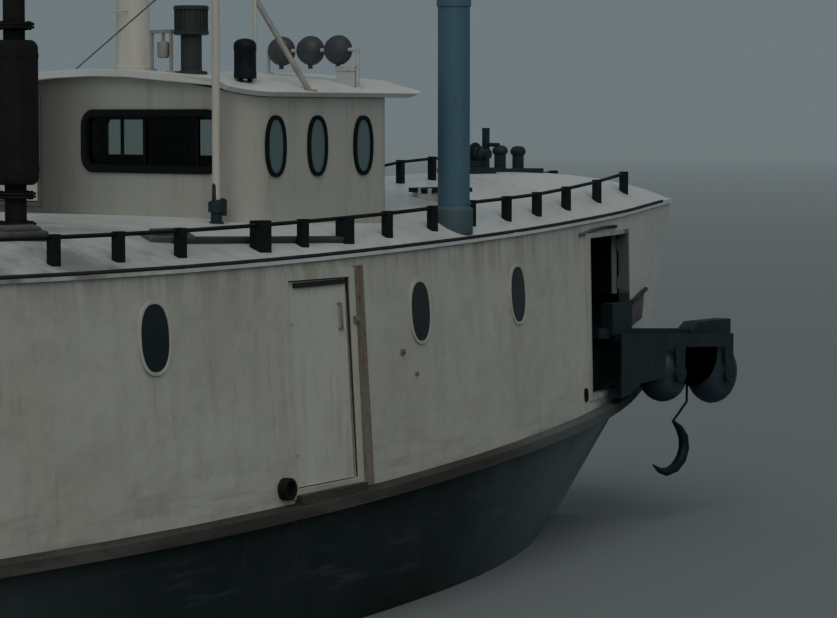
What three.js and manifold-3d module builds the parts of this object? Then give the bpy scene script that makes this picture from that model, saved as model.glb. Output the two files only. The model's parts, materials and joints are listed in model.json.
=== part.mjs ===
// A steel gillnetter, afloat: hull, topsides, turtleback deck, wheelhouse, deck gear and net rollers.
// Millimetres, X forward, Y to port, Z up, origin on the centreline at the waterline.
import * as THREE from "three";
import { mergeVertices } from "three/addons/utils/BufferGeometryUtils.js";
import Module from "manifold-3d";

const wasm = await Module();
wasm.setup();

// Gaps
const seat = 0.3; // between pieces that rest on each other
const runningGap = 8; // round a door leaf

// Hull, from the bow to the stern. Every level has its own place along the boat.
const stationColumns = [
  "deckX", "deckY", "deckZ",
  "guardX", "guardY", "guardZ",
  "waterX", "waterY",
  "bilgeX", "bilgeY", "bilgeZ",
  "keelX", "keelZ",
];
const stations = [
  [9450, 30, 3220, 8940, 30, 1400, 7150, 20, 6950, 15, -500, 6700, -800],
  [8450, 430, 3190, 8030, 520, 1370, 6700, 330, 6500, 200, -620, 6250, -1000],
  [7450, 840, 3160, 7120, 980, 1330, 6150, 700, 5950, 440, -720, 5700, -1120],
  [6250, 1260, 3130, 6020, 1420, 1280, 5350, 1130, 5150, 800, -800, 4950, -1220],
  [4450, 1750, 3080, 4330, 1890, 1210, 4000, 1680, 3850, 1280, -850, 3700, -1300],
  [2650, 2110, 3040, 2600, 2240, 1150, 2450, 2080, 2400, 1640, -880, 2350, -1350],
  [850, 2380, 3010, 830, 2500, 1110, 780, 2360, 750, 1880, -900, 740, -1390],
  [-1150, 2600, 3000, -1150, 2710, 1100, -1150, 2540, -1150, 2020, -900, -1150, -1420],
  [-3550, 2680, 3020, -3550, 2780, 1120, -3500, 2560, -3450, 1950, -880, -3400, -1450],
  [-6350, 2560, 3080, -6330, 2650, 1180, -6100, 2220, -5900, 1150, -620, -5700, -900],
  [-8550, 2250, 3160, -8430, 2320, 1250, -7900, 1300, -7400, 200, -180, -7150, -260],
];
const hullSections = 22;
const keelHalf = 90;
const engineWell = { x: -3900, length: 2100, width: 1150, floor: -250 };
const engine = { length: 1900, width: 950, height: 1150 };
const skeg = { front: -3300, back: -6400, half: 80, bottom: -1500, top: -400 };
const shaft = { z: -1010, bossRadius: 120, bossBack: -6560 };

// Topsides and deck
const shellThickness = 60;
const shellStart = 0.055; // share of the length that the stem bar takes
const deckThickness = 45;
const deckLip = 28;
// Deck's crown: flat-topped aft of the house, round and high on the foredeck
const crown = { aft: 270, fore: 460, aftPower: 6, forePower: 2, from: 2600, to: 5000, taperFrom: 3000, across: 8 };
const rail = { height: 215, postWidth: 84, postDepth: 56, inset: 165, tube: 17 };
const guard = { height: 135, depth: 95, bevel: 25 };

// Doors in the topsides, in each door's own frame: u forward, v up, w outward
const sideDoor = { x: 950, width: 820, height: 1600, sill: 105, jamb: 75, leaf: 40, recess: 34 };
const bowDoor = {
  x: 6775, width: 1480, height: 1500, sill: 110, jamb: 45, leaf: 55, leafHeight: 600, leafShort: 300,
  back: -92, front: 10,
};
const sternDoor = { width: 1500, height: 1500, sill: 130, jamb: 70, leaf: 45 };
const bowLeafOpen = 150;
const hinge = { radius: 7, barrel: 70, offset: 12, pinGap: 0.5 };
const hullPorts = [
  { x: -1130, up: 0.735 },
  { x: 2480, up: 0.7 },
  { x: 4325, up: 0.695 },
];
const hullPort = { width: 335, height: 530 };

// Wheelhouse
const house = { aft: 850, front: 2590, half: 1750, wall: 45, corner: 240, frontCorner: 90 };
const roof = { aft: 770, front: 3070, half: 1850, eave: 4235, camber: 200, thickness: 60, corner: 260 };
const aftWindow = { from: -1420, to: 110, bottom: 3640, top: 4150, corner: 90 };
const housePorts = { xs: [1150, 1660, 2240], z: 3860, width: 235, height: 475 };
const frontWindow = { count: 3, width: 1000, gap: 140, bottom: 3680, top: 4090, corner: 70 };
const houseDoor = { y: 1030, width: 620, height: 860, sill: 100, leaf: 36, jamb: 36 };
const well = { aft: 1000, front: 2250, half: 1250, floor: 2300, wall: 30, rim: 3500 };
const pane = 8;

// Mast and poles
const foremast = {
  x: 3430, y: -1785, radius: 140, footRadius: 168, footRise: 160, top: 7600, capRadius: 165, capRise: 25,
  armHalf: 480, armWide: 20, armFrom: 700, armTo: 640, eyeIn: 100, eyeOut: 240, eyeFrom: 480, eyeTo: 380,
};
const roofMast = {
  x: 1420, y: 120, radius: 160, topRadius: 110, top: 7000, capOut: 40, capRise: 20,
  lampRadius: 70, lampTop: 190,
};
const deckPole = {
  x: 660, y: -1560, radius: 32, top: 5450, footRadius: 60, footRise: 210, knob: 45,
  pump: { ahead: 40, radius: 48, from: 150, to: 260 },
  lever: { ahead: -20, radius: 22, from: 200, to: 420 },
};
const roofPole = { x: 1230, y: -1420, radius: 16, top: 6200, footRadius: 45, footRise: 25 };
const roofStrut = { x: 1720, y: -1770, radius: 24, below: 250 };
const roofVent = {
  x: 1160, y: -835, stem: 80, cap: 152, stemTop: 4800, capFrom: 4770, capTo: 5010, collar: 125,
};
const roofBracket = {
  x: 1050, y: -560, leg: 17, legYs: [130, -90], rise: 330, barWide: 20, barRise: 345, drop: 14, device: 50,
  deviceFrom: 110, deviceTo: 250,
};
const canister = {
  x: 1080, y: -1490, radius: 92, from: 80, to: 400, dome: 0.55, footIn: 40, footOut: 70, footHalf: 15,
};
const lamps = {
  x: 2300, ys: [-790, -1120, -1430], z: 4660, radius: 125, flat: 0.85, rod: 16, ends: [-640, -1650],
};
const silencer = {
  x: -880, y: -900, radius: 185, bottom: 3575, top: 4680, cone: 50, coneIn: 45, neck: 84, flange: 155,
  flangeThick: 40, stack: 5250, elbow: 330, elbowRise: 260,
};

// Net rollers over the bow, on an arm that falls towards its end
const rollers = [
  { name: "aft", x: 7660, z: 1524, radius: 300 },
  { name: "fore", x: 8570, z: 1461, radius: 325 },
];
const roller = { y: -1150, half: 170, hub: 95, hubOut: 20, bore: 36, axle: 35, boss: 90 };
const arm = {
  postX: 6520, postY: -940, postHalf: 60, front: 8800, size: 100, topAt: 7050, top: 2003, fall: 0.06,
};
const cheek = { out: 200, plate: 16, crossXs: [6740, 7250, 7660, 8570], crossHalf: 30, below: 12, above: 28 };
// Outline of the arm's side plates, x and z: a chute behind, and a lug for each roller
const cheekOutline = [
  [6620, 1985], [8640, 1868], [8640, 1450], [8600, 1380], [8540, 1380], [8500, 1450], [8480, 1740],
  [7750, 1782], [7730, 1510], [7690, 1440], [7630, 1440], [7590, 1510], [7570, 1790], [7420, 1780],
  [7350, 1500], [6950, 1475], [6800, 1390], [6620, 1350],
];
const chuteFloor = [
  [6620, 1350], [6800, 1390], [6950, 1475], [7250, 1493], [7250, 1508], [6950, 1490], [6800, 1405],
  [6620, 1365],
];
const chute = { clear: 36, overSill: 1440 };
const armBox = [[8040, 1852], [8040, 1925], [8170, 2006], [8780, 2006], [8780, 1852]];
const armBoxHalf = 90;
const fairlead = { from: 6640, to: 6970, y: -1170, half: 70, top: 2270 };
// Hook on a short pendant: path columns are x, z and radius
const hookPath = [
  [7845, 1010, 14], [7960, 930, 38], [8040, 830, 52], [8055, 715, 56], [8000, 605, 56], [7880, 525, 52],
  [7740, 497, 44], [7610, 525, 28], [7490, 595, 8],
];
const pendant = { x: 8100, bend: 1190, radius: 12 };

const helmWheel = { radius: 230, tube: 14, spokes: 4 };
const railPosts = [
  7960, 6880, 5930, 5170, 4470, 3730, 3020, 2250, 1590, 980, 400, -610, -1310, -1980,
  -2700, -3420, -4140, -4860, -5580, -6300, -7020, -7740, -8300,
];
const railBoxes = [
  { x: 400, length: 130, width: 110, height: 230 },
  { x: 1590, length: 120, width: 100, height: 190 },
];
const deckPipe = { fromX: 1528, toX: -430, y: -2130, radius: 28, lift: 26 };
const outlet = { x: 345, above: 130, radius: 88, length: 70, bore: 62, depth: 45 };
const windlass = {
  x: 5900, y: 0, bore: 40, shaft: 39.3, sides: 24, lift: 175, cheekOut: 150, cheek: 22, cheekHalf: 120,
  cheekRise: 110, hubRadius: 78, bedHalf: 200, bedWide: 215, bedRise: 40, barrel: 80, barrelHalf: 112,
  rim: 112, rimWide: 23, warp: 62, warpOut: 96, stub: 80,
};
const brake = { y: -150, half: 34, rise: 430, barRise: 265, barOut: 165, bar: 20 };
const bitts = {
  x: 6670, y: 60, pitch: 300, radius: 58, head: 78, height: 220, plateHalf: 410, plateWide: 130,
};
const hatch = {
  x: 3980, y: -1200, size: 360, rise: 30, wall: 35, lid: 40, overhang: 25, pin: 15, pinOut: 42,
};
const foredeckRail = {
  xs: [2900, 3600, 4300, 4800, 5300], fromY: -520, toY: -420, height: 215, post: 60, tube: 14,
};
const propeller = { radius: 380, blades: 4, from: 0.55, wide: 0.3, tall: 0.45, pitch: 62, thick: 26 };
const rudder = {
  stockX: -7350, front: -7120, back: -7950, top: -340, bottom: -1380, stockTop: -230, half: 38,
};

// Colours
const finishes = {
  hull: { color: 0x16211f, roughness: 0.6, metalness: 0.1 },
  guard: { color: 0x3d3a32, roughness: 0.8, metalness: 0.1 },
  white: { color: 0xb9bdb2, roughness: 0.55, metalness: 0.05 },
  deck: { color: 0xb7bfbd, roughness: 0.7, metalness: 0.05 },
  black: { color: 0x0c1214, roughness: 0.5, metalness: 0.2 },
  mast: { color: 0x1f3140, roughness: 0.5, metalness: 0.2 },
  cream: { color: 0xc4c2b0, roughness: 0.6, metalness: 0.05 },
  steel: { color: 0x53585a, roughness: 0.45, metalness: 0.7 },
  rust: { color: 0x4a3226, roughness: 0.9, metalness: 0.2 },
  glass: { color: 0x22302f, roughness: 0.1, metalness: 0.0 },
  bronze: { color: 0x7d6436, roughness: 0.4, metalness: 0.8 },
  grey: { color: 0x4a504e, roughness: 0.7, metalness: 0.1 },
};

const boat = new THREE.Group();

// Solids from geometry, and back

function solid(geometry) {
  const bare = geometry.clone();
  bare.deleteAttribute("normal");
  bare.deleteAttribute("uv");
  const merged = mergeVertices(bare, 1e-4);
  const mesh = new wasm.Mesh({
    numProp: 3,
    vertProperties: new Float32Array(merged.attributes.position.array),
    triVerts: new Uint32Array(merged.index.array),
  });
  return new wasm.Manifold(mesh);
}

function geometryOf(body) {
  const mesh = body.getMesh();
  const geometry = new THREE.BufferGeometry();
  geometry.setAttribute("position", new THREE.BufferAttribute(new Float32Array(mesh.vertProperties), 3));
  geometry.setIndex(new THREE.BufferAttribute(new Uint32Array(mesh.triVerts), 1));
  return geometry;
}

function add(name, body, finish) {
  const geometry = geometryOf(body).toNonIndexed();
  geometry.computeVertexNormals();
  const mesh = new THREE.Mesh(geometry, new THREE.MeshStandardMaterial(finishes[finish]));
  mesh.name = name;
  boat.add(mesh);
  return body;
}

// A piece that turns: its mesh is placed at its own pivot, with its axis along the mesh's Z
function addTurning(name, body, finish, pivot, axis) {
  const turn = new THREE.Quaternion();
  turn.setFromUnitVectors(new THREE.Vector3(0, 0, 1), axis.clone().normalize());
  const frame = new THREE.Matrix4().compose(pivot, turn, new THREE.Vector3(1, 1, 1));
  const geometry = geometryOf(body).applyMatrix4(frame.clone().invert()).toNonIndexed();
  geometry.computeVertexNormals();
  const mesh = new THREE.Mesh(geometry, new THREE.MeshStandardMaterial(finishes[finish]));
  mesh.name = name;
  mesh.applyMatrix4(frame);
  boat.add(mesh);
}

function union(bodies) {
  return bodies.reduce((whole, body) => whole.add(body));
}

function largest(body) {
  return body.decompose().sort((a, b) => b.volume() - a.volume())[0];
}

function placed(body, matrix) {
  return solid(geometryOf(body).applyMatrix4(matrix));
}

function mirrored(body) {
  const geometry = geometryOf(body);
  geometry.applyMatrix4(new THREE.Matrix4().makeScale(1, -1, 1));
  const index = geometry.index.array;
  for (let i = 0; i < index.length; i += 3) {
    const kept = index[i];
    index[i] = index[i + 1];
    index[i + 1] = kept;
  }
  return solid(geometry);
}

// Simple shapes

function block(sizeX, sizeY, sizeZ, x, y, z) {
  return solid(new THREE.BoxGeometry(sizeX, sizeY, sizeZ).translate(x, y, z));
}

function span(x0, x1, y0, y1, z0, z1) {
  return block(x1 - x0, y1 - y0, z1 - z0, (x0 + x1) / 2, (y0 + y1) / 2, (z0 + z1) / 2);
}

function rod(radius, from, to, sides = 12, endRadius = radius) {
  const start = new THREE.Vector3(...from);
  const end = new THREE.Vector3(...to);
  const direction = end.clone().sub(start);
  const geometry = new THREE.CylinderGeometry(endRadius, radius, direction.length(), sides);
  const turn = new THREE.Quaternion();
  turn.setFromUnitVectors(new THREE.Vector3(0, 1, 0), direction.clone().normalize());
  geometry.applyQuaternion(turn);
  const middle = start.add(end).multiplyScalar(0.5);
  return solid(geometry.translate(middle.x, middle.y, middle.z));
}

function ball(radius, x, y, z, squash = 1) {
  return solid(new THREE.SphereGeometry(radius, 10, 6).scale(1, 1, squash).translate(x, y, z));
}

// A turned piece: profile pairs of radius and height, round a line along Y
function turnedAcross(profile, x, y, z, sides = 16) {
  const points = profile.map(([radius, along]) => new THREE.Vector2(radius, along));
  return solid(new THREE.LatheGeometry(points, sides).translate(x, y, z));
}

function roundedShape(x0, x1, y0, y1, radius) {
  const shape = new THREE.Shape();
  shape.moveTo(x0 + radius, y0);
  shape.lineTo(x1 - radius, y0);
  shape.absarc(x1 - radius, y0 + radius, radius, -Math.PI / 2, 0);
  shape.lineTo(x1, y1 - radius);
  shape.absarc(x1 - radius, y1 - radius, radius, 0, Math.PI / 2);
  shape.lineTo(x0 + radius, y1);
  shape.absarc(x0 + radius, y1 - radius, radius, Math.PI / 2, Math.PI);
  shape.lineTo(x0, y0 + radius);
  shape.absarc(x0 + radius, y0 + radius, radius, Math.PI, Math.PI * 1.5);
  return shape;
}

function ovalShape(width, height) {
  const shape = new THREE.Shape();
  shape.absellipse(0, 0, width / 2, height / 2, 0, Math.PI * 2, false, 0);
  return shape;
}

function slab(shape, depth, segments = 6) {
  return new THREE.ExtrudeGeometry(shape, { depth, bevelEnabled: false, curveSegments: segments });
}

// Lofts: rings of points, capped at both ends, or closed on themselves

function ringTriangles(ring) {
  const normal = new THREE.Vector3();
  ring.forEach((point, i) => {
    const next = ring[(i + 1) % ring.length];
    normal.x += (point.y - next.y) * (point.z + next.z);
    normal.y += (point.z - next.z) * (point.x + next.x);
    normal.z += (point.x - next.x) * (point.y + next.y);
  });
  normal.normalize();
  const across = new THREE.Vector3(0, 1, 0);
  if (Math.abs(normal.y) > 0.9) across.set(1, 0, 0);
  const u = across.clone().cross(normal).normalize();
  const v = normal.clone().cross(u);
  const flat = ring.map((point) => new THREE.Vector2(point.dot(u), point.dot(v)));
  const faces = THREE.ShapeUtils.triangulateShape(flat, []);
  return faces;
}

function loft(rings, closed = false) {
  const count = rings[0].length;
  const positions = rings.flat().flatMap((point) => [point.x, point.y, point.z]);
  const index = [];
  const last = closed ? rings.length : rings.length - 1;
  for (let i = 0; i < last; i += 1) {
    const here = i * count;
    const there = ((i + 1) % rings.length) * count;
    for (let j = 0; j < count; j += 1) {
      const k = (j + 1) % count;
      index.push(here + j, here + k, there + k);
      index.push(here + j, there + k, there + j);
    }
  }
  if (!closed) {
    const end = (rings.length - 1) * count;
    ringTriangles(rings[0]).forEach(([a, b, c]) => index.push(c, b, a));
    ringTriangles(rings[rings.length - 1]).forEach(([a, b, c]) => index.push(end + a, end + b, end + c));
  }
  const geometry = new THREE.BufferGeometry();
  geometry.setAttribute("position", new THREE.Float32BufferAttribute(positions, 3));
  geometry.setIndex(index);
  if (signedVolume(geometry) < 0) {
    for (let i = 0; i < index.length; i += 3) {
      [index[i], index[i + 1]] = [index[i + 1], index[i]];
    }
    geometry.setIndex(index);
  }
  return solid(geometry);
}

function signedVolume(geometry) {
  const position = geometry.attributes.position;
  const index = geometry.index.array;
  const corners = [new THREE.Vector3(), new THREE.Vector3(), new THREE.Vector3()];
  let total = 0;
  for (let i = 0; i < index.length; i += 3) {
    corners.forEach((corner, j) => corner.fromBufferAttribute(position, index[i + j]));
    total += corners[0].dot(corners[1].clone().cross(corners[2]));
  }
  return total / 6;
}

// Hull levels

const levels = {};
["deck", "guard", "water", "bilge", "keel"].forEach((level) => {
  const column = (axis) => stationColumns.indexOf(level + axis);
  const fallback = { waterZ: 0, keelY: keelHalf };
  const points = stations.map((row) => {
    const value = (axis) => (column(axis) < 0 ? fallback[level + axis] : row[column(axis)]);
    return new THREE.Vector3(value("X"), value("Y"), value("Z"));
  });
  levels[level] = new THREE.CatmullRomCurve3(points, false, "centripetal");
});

// Place along a level, as a share of the stations, where it passes a given x
function shareAt(level, x) {
  let low = 0;
  let high = 1;
  for (let i = 0; i < 40; i += 1) {
    const middle = (low + high) / 2;
    if (levels[level].getPoint(middle).x > x) low = middle;
    else high = middle;
  }
  return (low + high) / 2;
}

const shares = Array.from({ length: hullSections + 1 }, (_, i) => i / hullSections);

function planNormal(share) {
  const step = 0.004;
  const before = levels.guard.getPoint(Math.max(0, share - step));
  const after = levels.guard.getPoint(Math.min(1, share + step));
  const along = after.sub(before);
  return new THREE.Vector3(along.y, -along.x, 0).normalize();
}

// Port side point of a level, moved outward in plan
function portPoint(level, share, out = 0, rise = 0) {
  const point = levels[level].getPoint(share);
  return point.addScaledVector(planNormal(share), out).add(new THREE.Vector3(0, 0, rise));
}

function toStarboard(point) {
  return new THREE.Vector3(point.x, -point.y, point.z);
}

// Height of the crown at a step from the centreline, 0, to the deck's edge, half of crown.across
function crownStep(x, step) {
  const { aft, fore, aftPower, forePower, from, to, taperFrom, across } = crown;
  const share = THREE.MathUtils.smoothstep(x, from, to);
  const past = Math.max(0, x - taperFrom) / (stations[0][0] - taperFrom);
  const rise = THREE.MathUtils.lerp(aft, fore, share) * (1 - past ** 4);
  return rise * (1 - ((2 * Math.abs(step)) / across) ** THREE.MathUtils.lerp(aftPower, forePower, share));
}

function deckHeight(x, y) {
  const edge = levels.deck.getPoint(shareAt("deck", x));
  const place = (Math.min(1, Math.abs(y) / edge.y) * crown.across) / 2;
  const step = Math.floor(place);
  return edge.z + THREE.MathUtils.lerp(crownStep(x, step), crownStep(x, step + 1), place - step);
}

// Hull

function hullRing(share) {
  const curve = new THREE.CatmullRomCurve3(
    ["keel", "bilge", "water", "guard"].map((level) => levels[level].getPoint(share)),
    false,
    "centripetal",
  );
  const side = curve.getPoints(7);
  return [...side, ...side.map(toStarboard).reverse()];
}

function makeHull() {
  let body = loft(shares.map(hullRing));
  const skegPlate = span(skeg.back, skeg.front, -skeg.half, skeg.half, skeg.bottom, skeg.top);
  const boss = rod(shaft.bossRadius, [skeg.back + 500, 0, shaft.z], [shaft.bossBack, 0, shaft.z], 10, 95);
  const heel = span(rudder.stockX - 90, skeg.back + 200, -45, 45, skeg.bottom, skeg.bottom + 90);
  const trunk = rod(75, [rudder.stockX, 0, rudder.stockTop], [rudder.stockX, 0, 400], 12);
  body = union([body, skegPlate, boss, heel, trunk]);
  const { x, length, width, floor } = engineWell;
  return body.subtract(span(x - length / 2, x + length / 2, -width / 2, width / 2, floor, 2000));
}

function makeEngine() {
  const z = engineWell.floor + seat + engine.height / 2;
  return block(engine.length, engine.width, engine.height, engineWell.x, 0, z);
}

function guardRing(share) {
  const { height, depth, bevel } = guard;
  return [
    portPoint("guard", share, seat, -height),
    portPoint("guard", share, depth, -height + bevel),
    portPoint("guard", share, depth, -bevel),
    portPoint("guard", share, seat, -1),
  ];
}

function makeGuard() {
  const port = shares.map(guardRing);
  const starboard = port.map((ring) => ring.map(toStarboard)).reverse();
  const stern = port[port.length - 1].map((point) => point.clone());
  const sternCentre = stern.map((point, i) => {
    const out = i === 1 || i === 2 ? guard.depth : seat;
    return new THREE.Vector3(levels.guard.getPoint(1).x - out, 0, point.z);
  });
  port[port.length - 1].forEach((point, i) => {
    point.x = sternCentre[i].x;
  });
  starboard[0].forEach((point, i) => {
    point.x = sternCentre[i].x;
  });
  const bowCentre = port[0].map((point, i) => {
    const out = i === 1 || i === 2 ? guard.depth : seat;
    return new THREE.Vector3(levels.guard.getPoint(0).x + out + 12, 0, point.z);
  });
  return loft([bowCentre, ...port, sternCentre, ...starboard], true);
}

// Topsides

function shellRing(share, grow = 0) {
  const thickness = shellThickness;
  const top = -deckThickness - seat - 0.3 + grow;
  return [
    portPoint("guard", share, grow, seat - grow),
    portPoint("deck", share, grow, top),
    portPoint("deck", share, -thickness - grow, top),
    portPoint("guard", share, -thickness - grow, seat - grow),
  ];
}

function shellShares() {
  return [shellStart, ...shares.filter((share) => share > shellStart + 0.01)];
}

function portShell(grow = 0) {
  const rings = shellShares().map((share) => shellRing(share, grow));
  if (grow > 0) {
    const [before, last] = rings.slice(-2);
    rings.push(last.map((point, i) => point.clone().lerp(before[i], -0.5)));
  }
  return loft(rings);
}

// Frame of a place on the starboard topsides: u forward, v up the wall, w outward
function wallFrame(x, up) {
  const at = (place) => {
    const guardPoint = toStarboard(levels.guard.getPoint(shareAt("guard", place)));
    const deckPoint = toStarboard(levels.deck.getPoint(shareAt("deck", place)));
    return { guardPoint, deckPoint, point: guardPoint.clone().lerp(deckPoint, up) };
  };
  const reach = 300;
  const here = at(x);
  const v = here.deckPoint.clone().sub(here.guardPoint);
  v.x = 0;
  v.normalize();
  const u = at(x + reach).point.sub(at(x - reach).point);
  u.addScaledVector(v, -u.dot(v)).normalize();
  const w = u.clone().cross(v).normalize();
  const matrix = new THREE.Matrix4().makeBasis(u, v, w).setPosition(here.point);
  return { matrix, u, v, w, origin: here.point };
}

function wallHeight(x) {
  const guardPoint = levels.guard.getPoint(shareAt("guard", x));
  const deckPoint = levels.deck.getPoint(shareAt("deck", x));
  return guardPoint.distanceTo(deckPoint);
}

function ovalCutter(width, height) {
  const depth = 400;
  return solid(slab(ovalShape(width, height), depth, 7).translate(0, 0, -depth / 2));
}

function frameBlock(width, height, back, front) {
  return span(-width / 2, width / 2, -height / 2, height / 2, back, front);
}

// A hinged leaf in its frame. The hinge line lies along v at pin.u, pin.w.
function makeDoor(door) {
  const { width, height, jamb, leaf, recess, hingeSide, swing, back, front } = door;
  const { leafBottom: bottom = -height / 2, leafShort = 0 } = door;
  const side = hinge.offset * 2;
  const opening = frameBlock(width + 2 * side, height + 2 * runningGap, back - 50, front + 50);
  const outer = frameBlock(width + 2 * (side + jamb), height + 2 * (runningGap + jamb), back, front);
  const leafBack = front - recess - leaf;
  const leafFront = front - recess;
  const pin = {
    u: hingeSide * (width / 2 + hinge.offset),
    w: swing > 0 ? leafFront + 10 : leafBack - 10,
  };
  const freeEdge = hingeSide * (leafShort - width / 2);
  const hungEdge = hingeSide * (width / 2);
  let panel = span(
    Math.min(freeEdge, hungEdge), Math.max(freeEdge, hungEdge), bottom, height / 2, leafBack, leafFront,
  );
  let casing = outer.subtract(opening);
  const leafTall = height / 2 - bottom;
  [0.18, 0.82].forEach((part) => {
    const v = bottom + leafTall * part;
    const half = hinge.barrel / 2;
    const innerU = pin.u - hingeSide * 60;
    const [u0, u1] = [Math.min(pin.u, innerU), Math.max(pin.u, innerU)];
    const face = swing > 0 ? leafFront : leafBack;
    const [w0, w1] = [Math.min(pin.w - 4, face - 4), Math.max(pin.w + 4, face + 4)];
    panel = panel.add(rod(hinge.radius, [pin.u, v - half, pin.w], [pin.u, v + half, pin.w], 8));
    panel = panel.add(span(u0, u1, v - half, v + half, w0, w1));
    [-1, 1].forEach((end) => {
      const near = v + end * (half + hinge.pinGap);
      const far = near + end * 30;
      const [v0, v1] = [Math.min(near, far), Math.max(near, far)];
      const outerU = pin.u + hingeSide * (hinge.offset + 5);
      const [a, b] = [Math.min(pin.u, outerU), Math.max(pin.u, outerU)];
      casing = casing.add(rod(hinge.radius, [pin.u, v0, pin.w], [pin.u, v1, pin.w], 8));
      casing = casing.add(span(a, b, v0, v1, pin.w - 5, pin.w + (swing > 0 ? 5 : 9)));
    });
  });
  const hole = frameBlock(
    width + 2 * (side + jamb) + 2 * seat,
    height + 2 * (runningGap + jamb) + 2 * seat,
    -400,
    400,
  );
  return { panel, casing, hole, pin, sense: hingeSide * swing };
}

// Pivot point and opening axis of a door, in the boat's frame
function doorPivot(door) {
  const { u, v, w, origin } = door.place;
  const pivot = origin.clone().addScaledVector(u, door.pin.u).addScaledVector(w, door.pin.w);
  return { pivot, axis: v.clone().multiplyScalar(door.sense) };
}

function addDoor(name, door, finish) {
  const { pivot, axis } = doorPivot(door);
  addTurning(name, placed(door.panel, door.place.matrix), finish, pivot, axis);
}

function turnedAboutPin(body, pin, degrees) {
  const matrix = new THREE.Matrix4().makeTranslation(pin.u, 0, pin.w);
  matrix.multiply(new THREE.Matrix4().makeRotationY(THREE.MathUtils.degToRad(degrees)));
  matrix.multiply(new THREE.Matrix4().makeTranslation(-pin.u, 0, -pin.w));
  return placed(body, matrix);
}

function makeSideDoor() {
  const { x, width, height, sill, jamb, leaf, recess } = sideDoor;
  const middle = (sill + height / 2) / wallHeight(x);
  const place = wallFrame(x, middle);
  const door = makeDoor({
    width, height, jamb, leaf, recess, hingeSide: -1, swing: 1, back: -95, front: 14,
  });
  const handle = union([
    rod(9, [width / 2 - 70, 400, -34], [width / 2 - 70, 400, 6], 6),
    rod(9, [width / 2 - 70, 560, -34], [width / 2 - 70, 560, 6], 6),
    rod(9, [width / 2 - 70, 392, 2], [width / 2 - 70, 568, 2], 6),
  ]);
  return { ...door, panel: door.panel.add(handle), place };
}

function makeBowDoor() {
  const { x, width, height, sill, jamb, leaf, leafHeight, leafShort, back, front } = bowDoor;
  const middle = (sill + height / 2) / wallHeight(x);
  const place = wallFrame(x, middle);
  const door = makeDoor({
    width, height, jamb, leaf, recess: 40, hingeSide: 1, swing: -1, back, front,
    leafBottom: height / 2 - leafHeight, leafShort,
  });
  const open = turnedAboutPin(door.panel, door.pin, -bowLeafOpen);
  return { ...door, panel: open, place };
}

function makeSternDoors() {
  const { width, height, sill, jamb, leaf } = sternDoor;
  const low = levels.guard.getPoint(1);
  const high = levels.deck.getPoint(1);
  const v = new THREE.Vector3(high.x - low.x, 0, high.z - low.z).normalize();
  const u = new THREE.Vector3(0, -1, 0);
  const w = u.clone().cross(v).normalize();
  const origin = new THREE.Vector3(low.x, 0, low.z).addScaledVector(v, sill + height / 2);
  const matrix = new THREE.Matrix4().makeBasis(u, v, w).setPosition(origin);
  const side = hinge.offset * 2;
  const opening = frameBlock(width + 2 * side, height + 2 * runningGap, -200, 200);
  const outer = frameBlock(width + 2 * (side + jamb), height + 2 * (runningGap + jamb), -90, 12);
  let casing = outer.subtract(opening);
  const leafWidth = width / 2 - runningGap / 2;
  const leaves = {};
  [["starboard", 1], ["port", -1]].forEach(([name, hand]) => {
    const one = makeDoor({
      width: leafWidth, height, jamb: 10, leaf, recess: 30, hingeSide: hand, swing: 1, back: -90, front: 12,
    });
    const shift = hand * (width / 2 - leafWidth / 2);
    const move = new THREE.Matrix4().makeTranslation(shift, 0, 0);
    leaves[name] = {
      panel: placed(one.panel, move),
      pin: { u: one.pin.u + shift, w: one.pin.w },
      sense: one.sense,
      place: { matrix, u, v, w, origin },
    };
    const lugs = placed(one.casing, move).intersect(
      span(leaves[name].pin.u - 8, leaves[name].pin.u + 8, -height / 2, height / 2, -60, 20),
    );
    const bridge = placed(one.casing, move).intersect(
      hand > 0
        ? span(leaves[name].pin.u - 8, width / 2 + side + 5, -height / 2, height / 2, -60, 20)
        : span(-width / 2 - side - 5, leaves[name].pin.u + 8, -height / 2, height / 2, -60, 20),
    );
    casing = union([casing, lugs, bridge]);
  });
  const hole = frameBlock(
    width + 2 * (side + jamb) + 2 * seat,
    height + 2 * (runningGap + jamb) + 2 * seat,
    -400,
    400,
  );
  return { leaves, casing, hole, place: { matrix, u, v, w, origin } };
}

function makeSternWall() {
  const low = levels.guard.getPoint(1);
  const high = levels.deck.getPoint(1);
  const lean = (high.x - low.x) / (high.z - low.z);
  const inset = 5;
  const rise = crown.fore + 200;
  const ring = (half, x, z) => [
    new THREE.Vector3(x, -half, z),
    new THREE.Vector3(x, half, z),
    new THREE.Vector3(x + shellThickness, half, z),
    new THREE.Vector3(x + shellThickness, -half, z),
  ];
  let wall = loft([
    ring(low.y - inset, low.x + 4, low.z + seat),
    ring(high.y - inset, high.x + 4, high.z),
    ring(high.y - inset, high.x + 4 + lean * rise, high.z + rise),
  ]);
  const cutter = portShell(0.4);
  wall = wall.subtract(cutter).subtract(mirrored(cutter));
  wall = wall.subtract(deckSolid(crown.fore + 600, -deckThickness - seat, 200));
  wall = wall.subtract(span(-9500, high.x, -3000, 3000, high.z - 500, high.z + 2000));
  return largest(wall);
}

function makeStemBar() {
  const rings = [0, 0.02, shellStart - 0.0004].map((share) => {
    const low = portPoint("guard", share, 0, seat);
    const high = portPoint("deck", share, 0, -deckThickness - seat - 0.3);
    return [toStarboard(low), toStarboard(high), high, low];
  });
  return loft(rings);
}

// Deck

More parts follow.
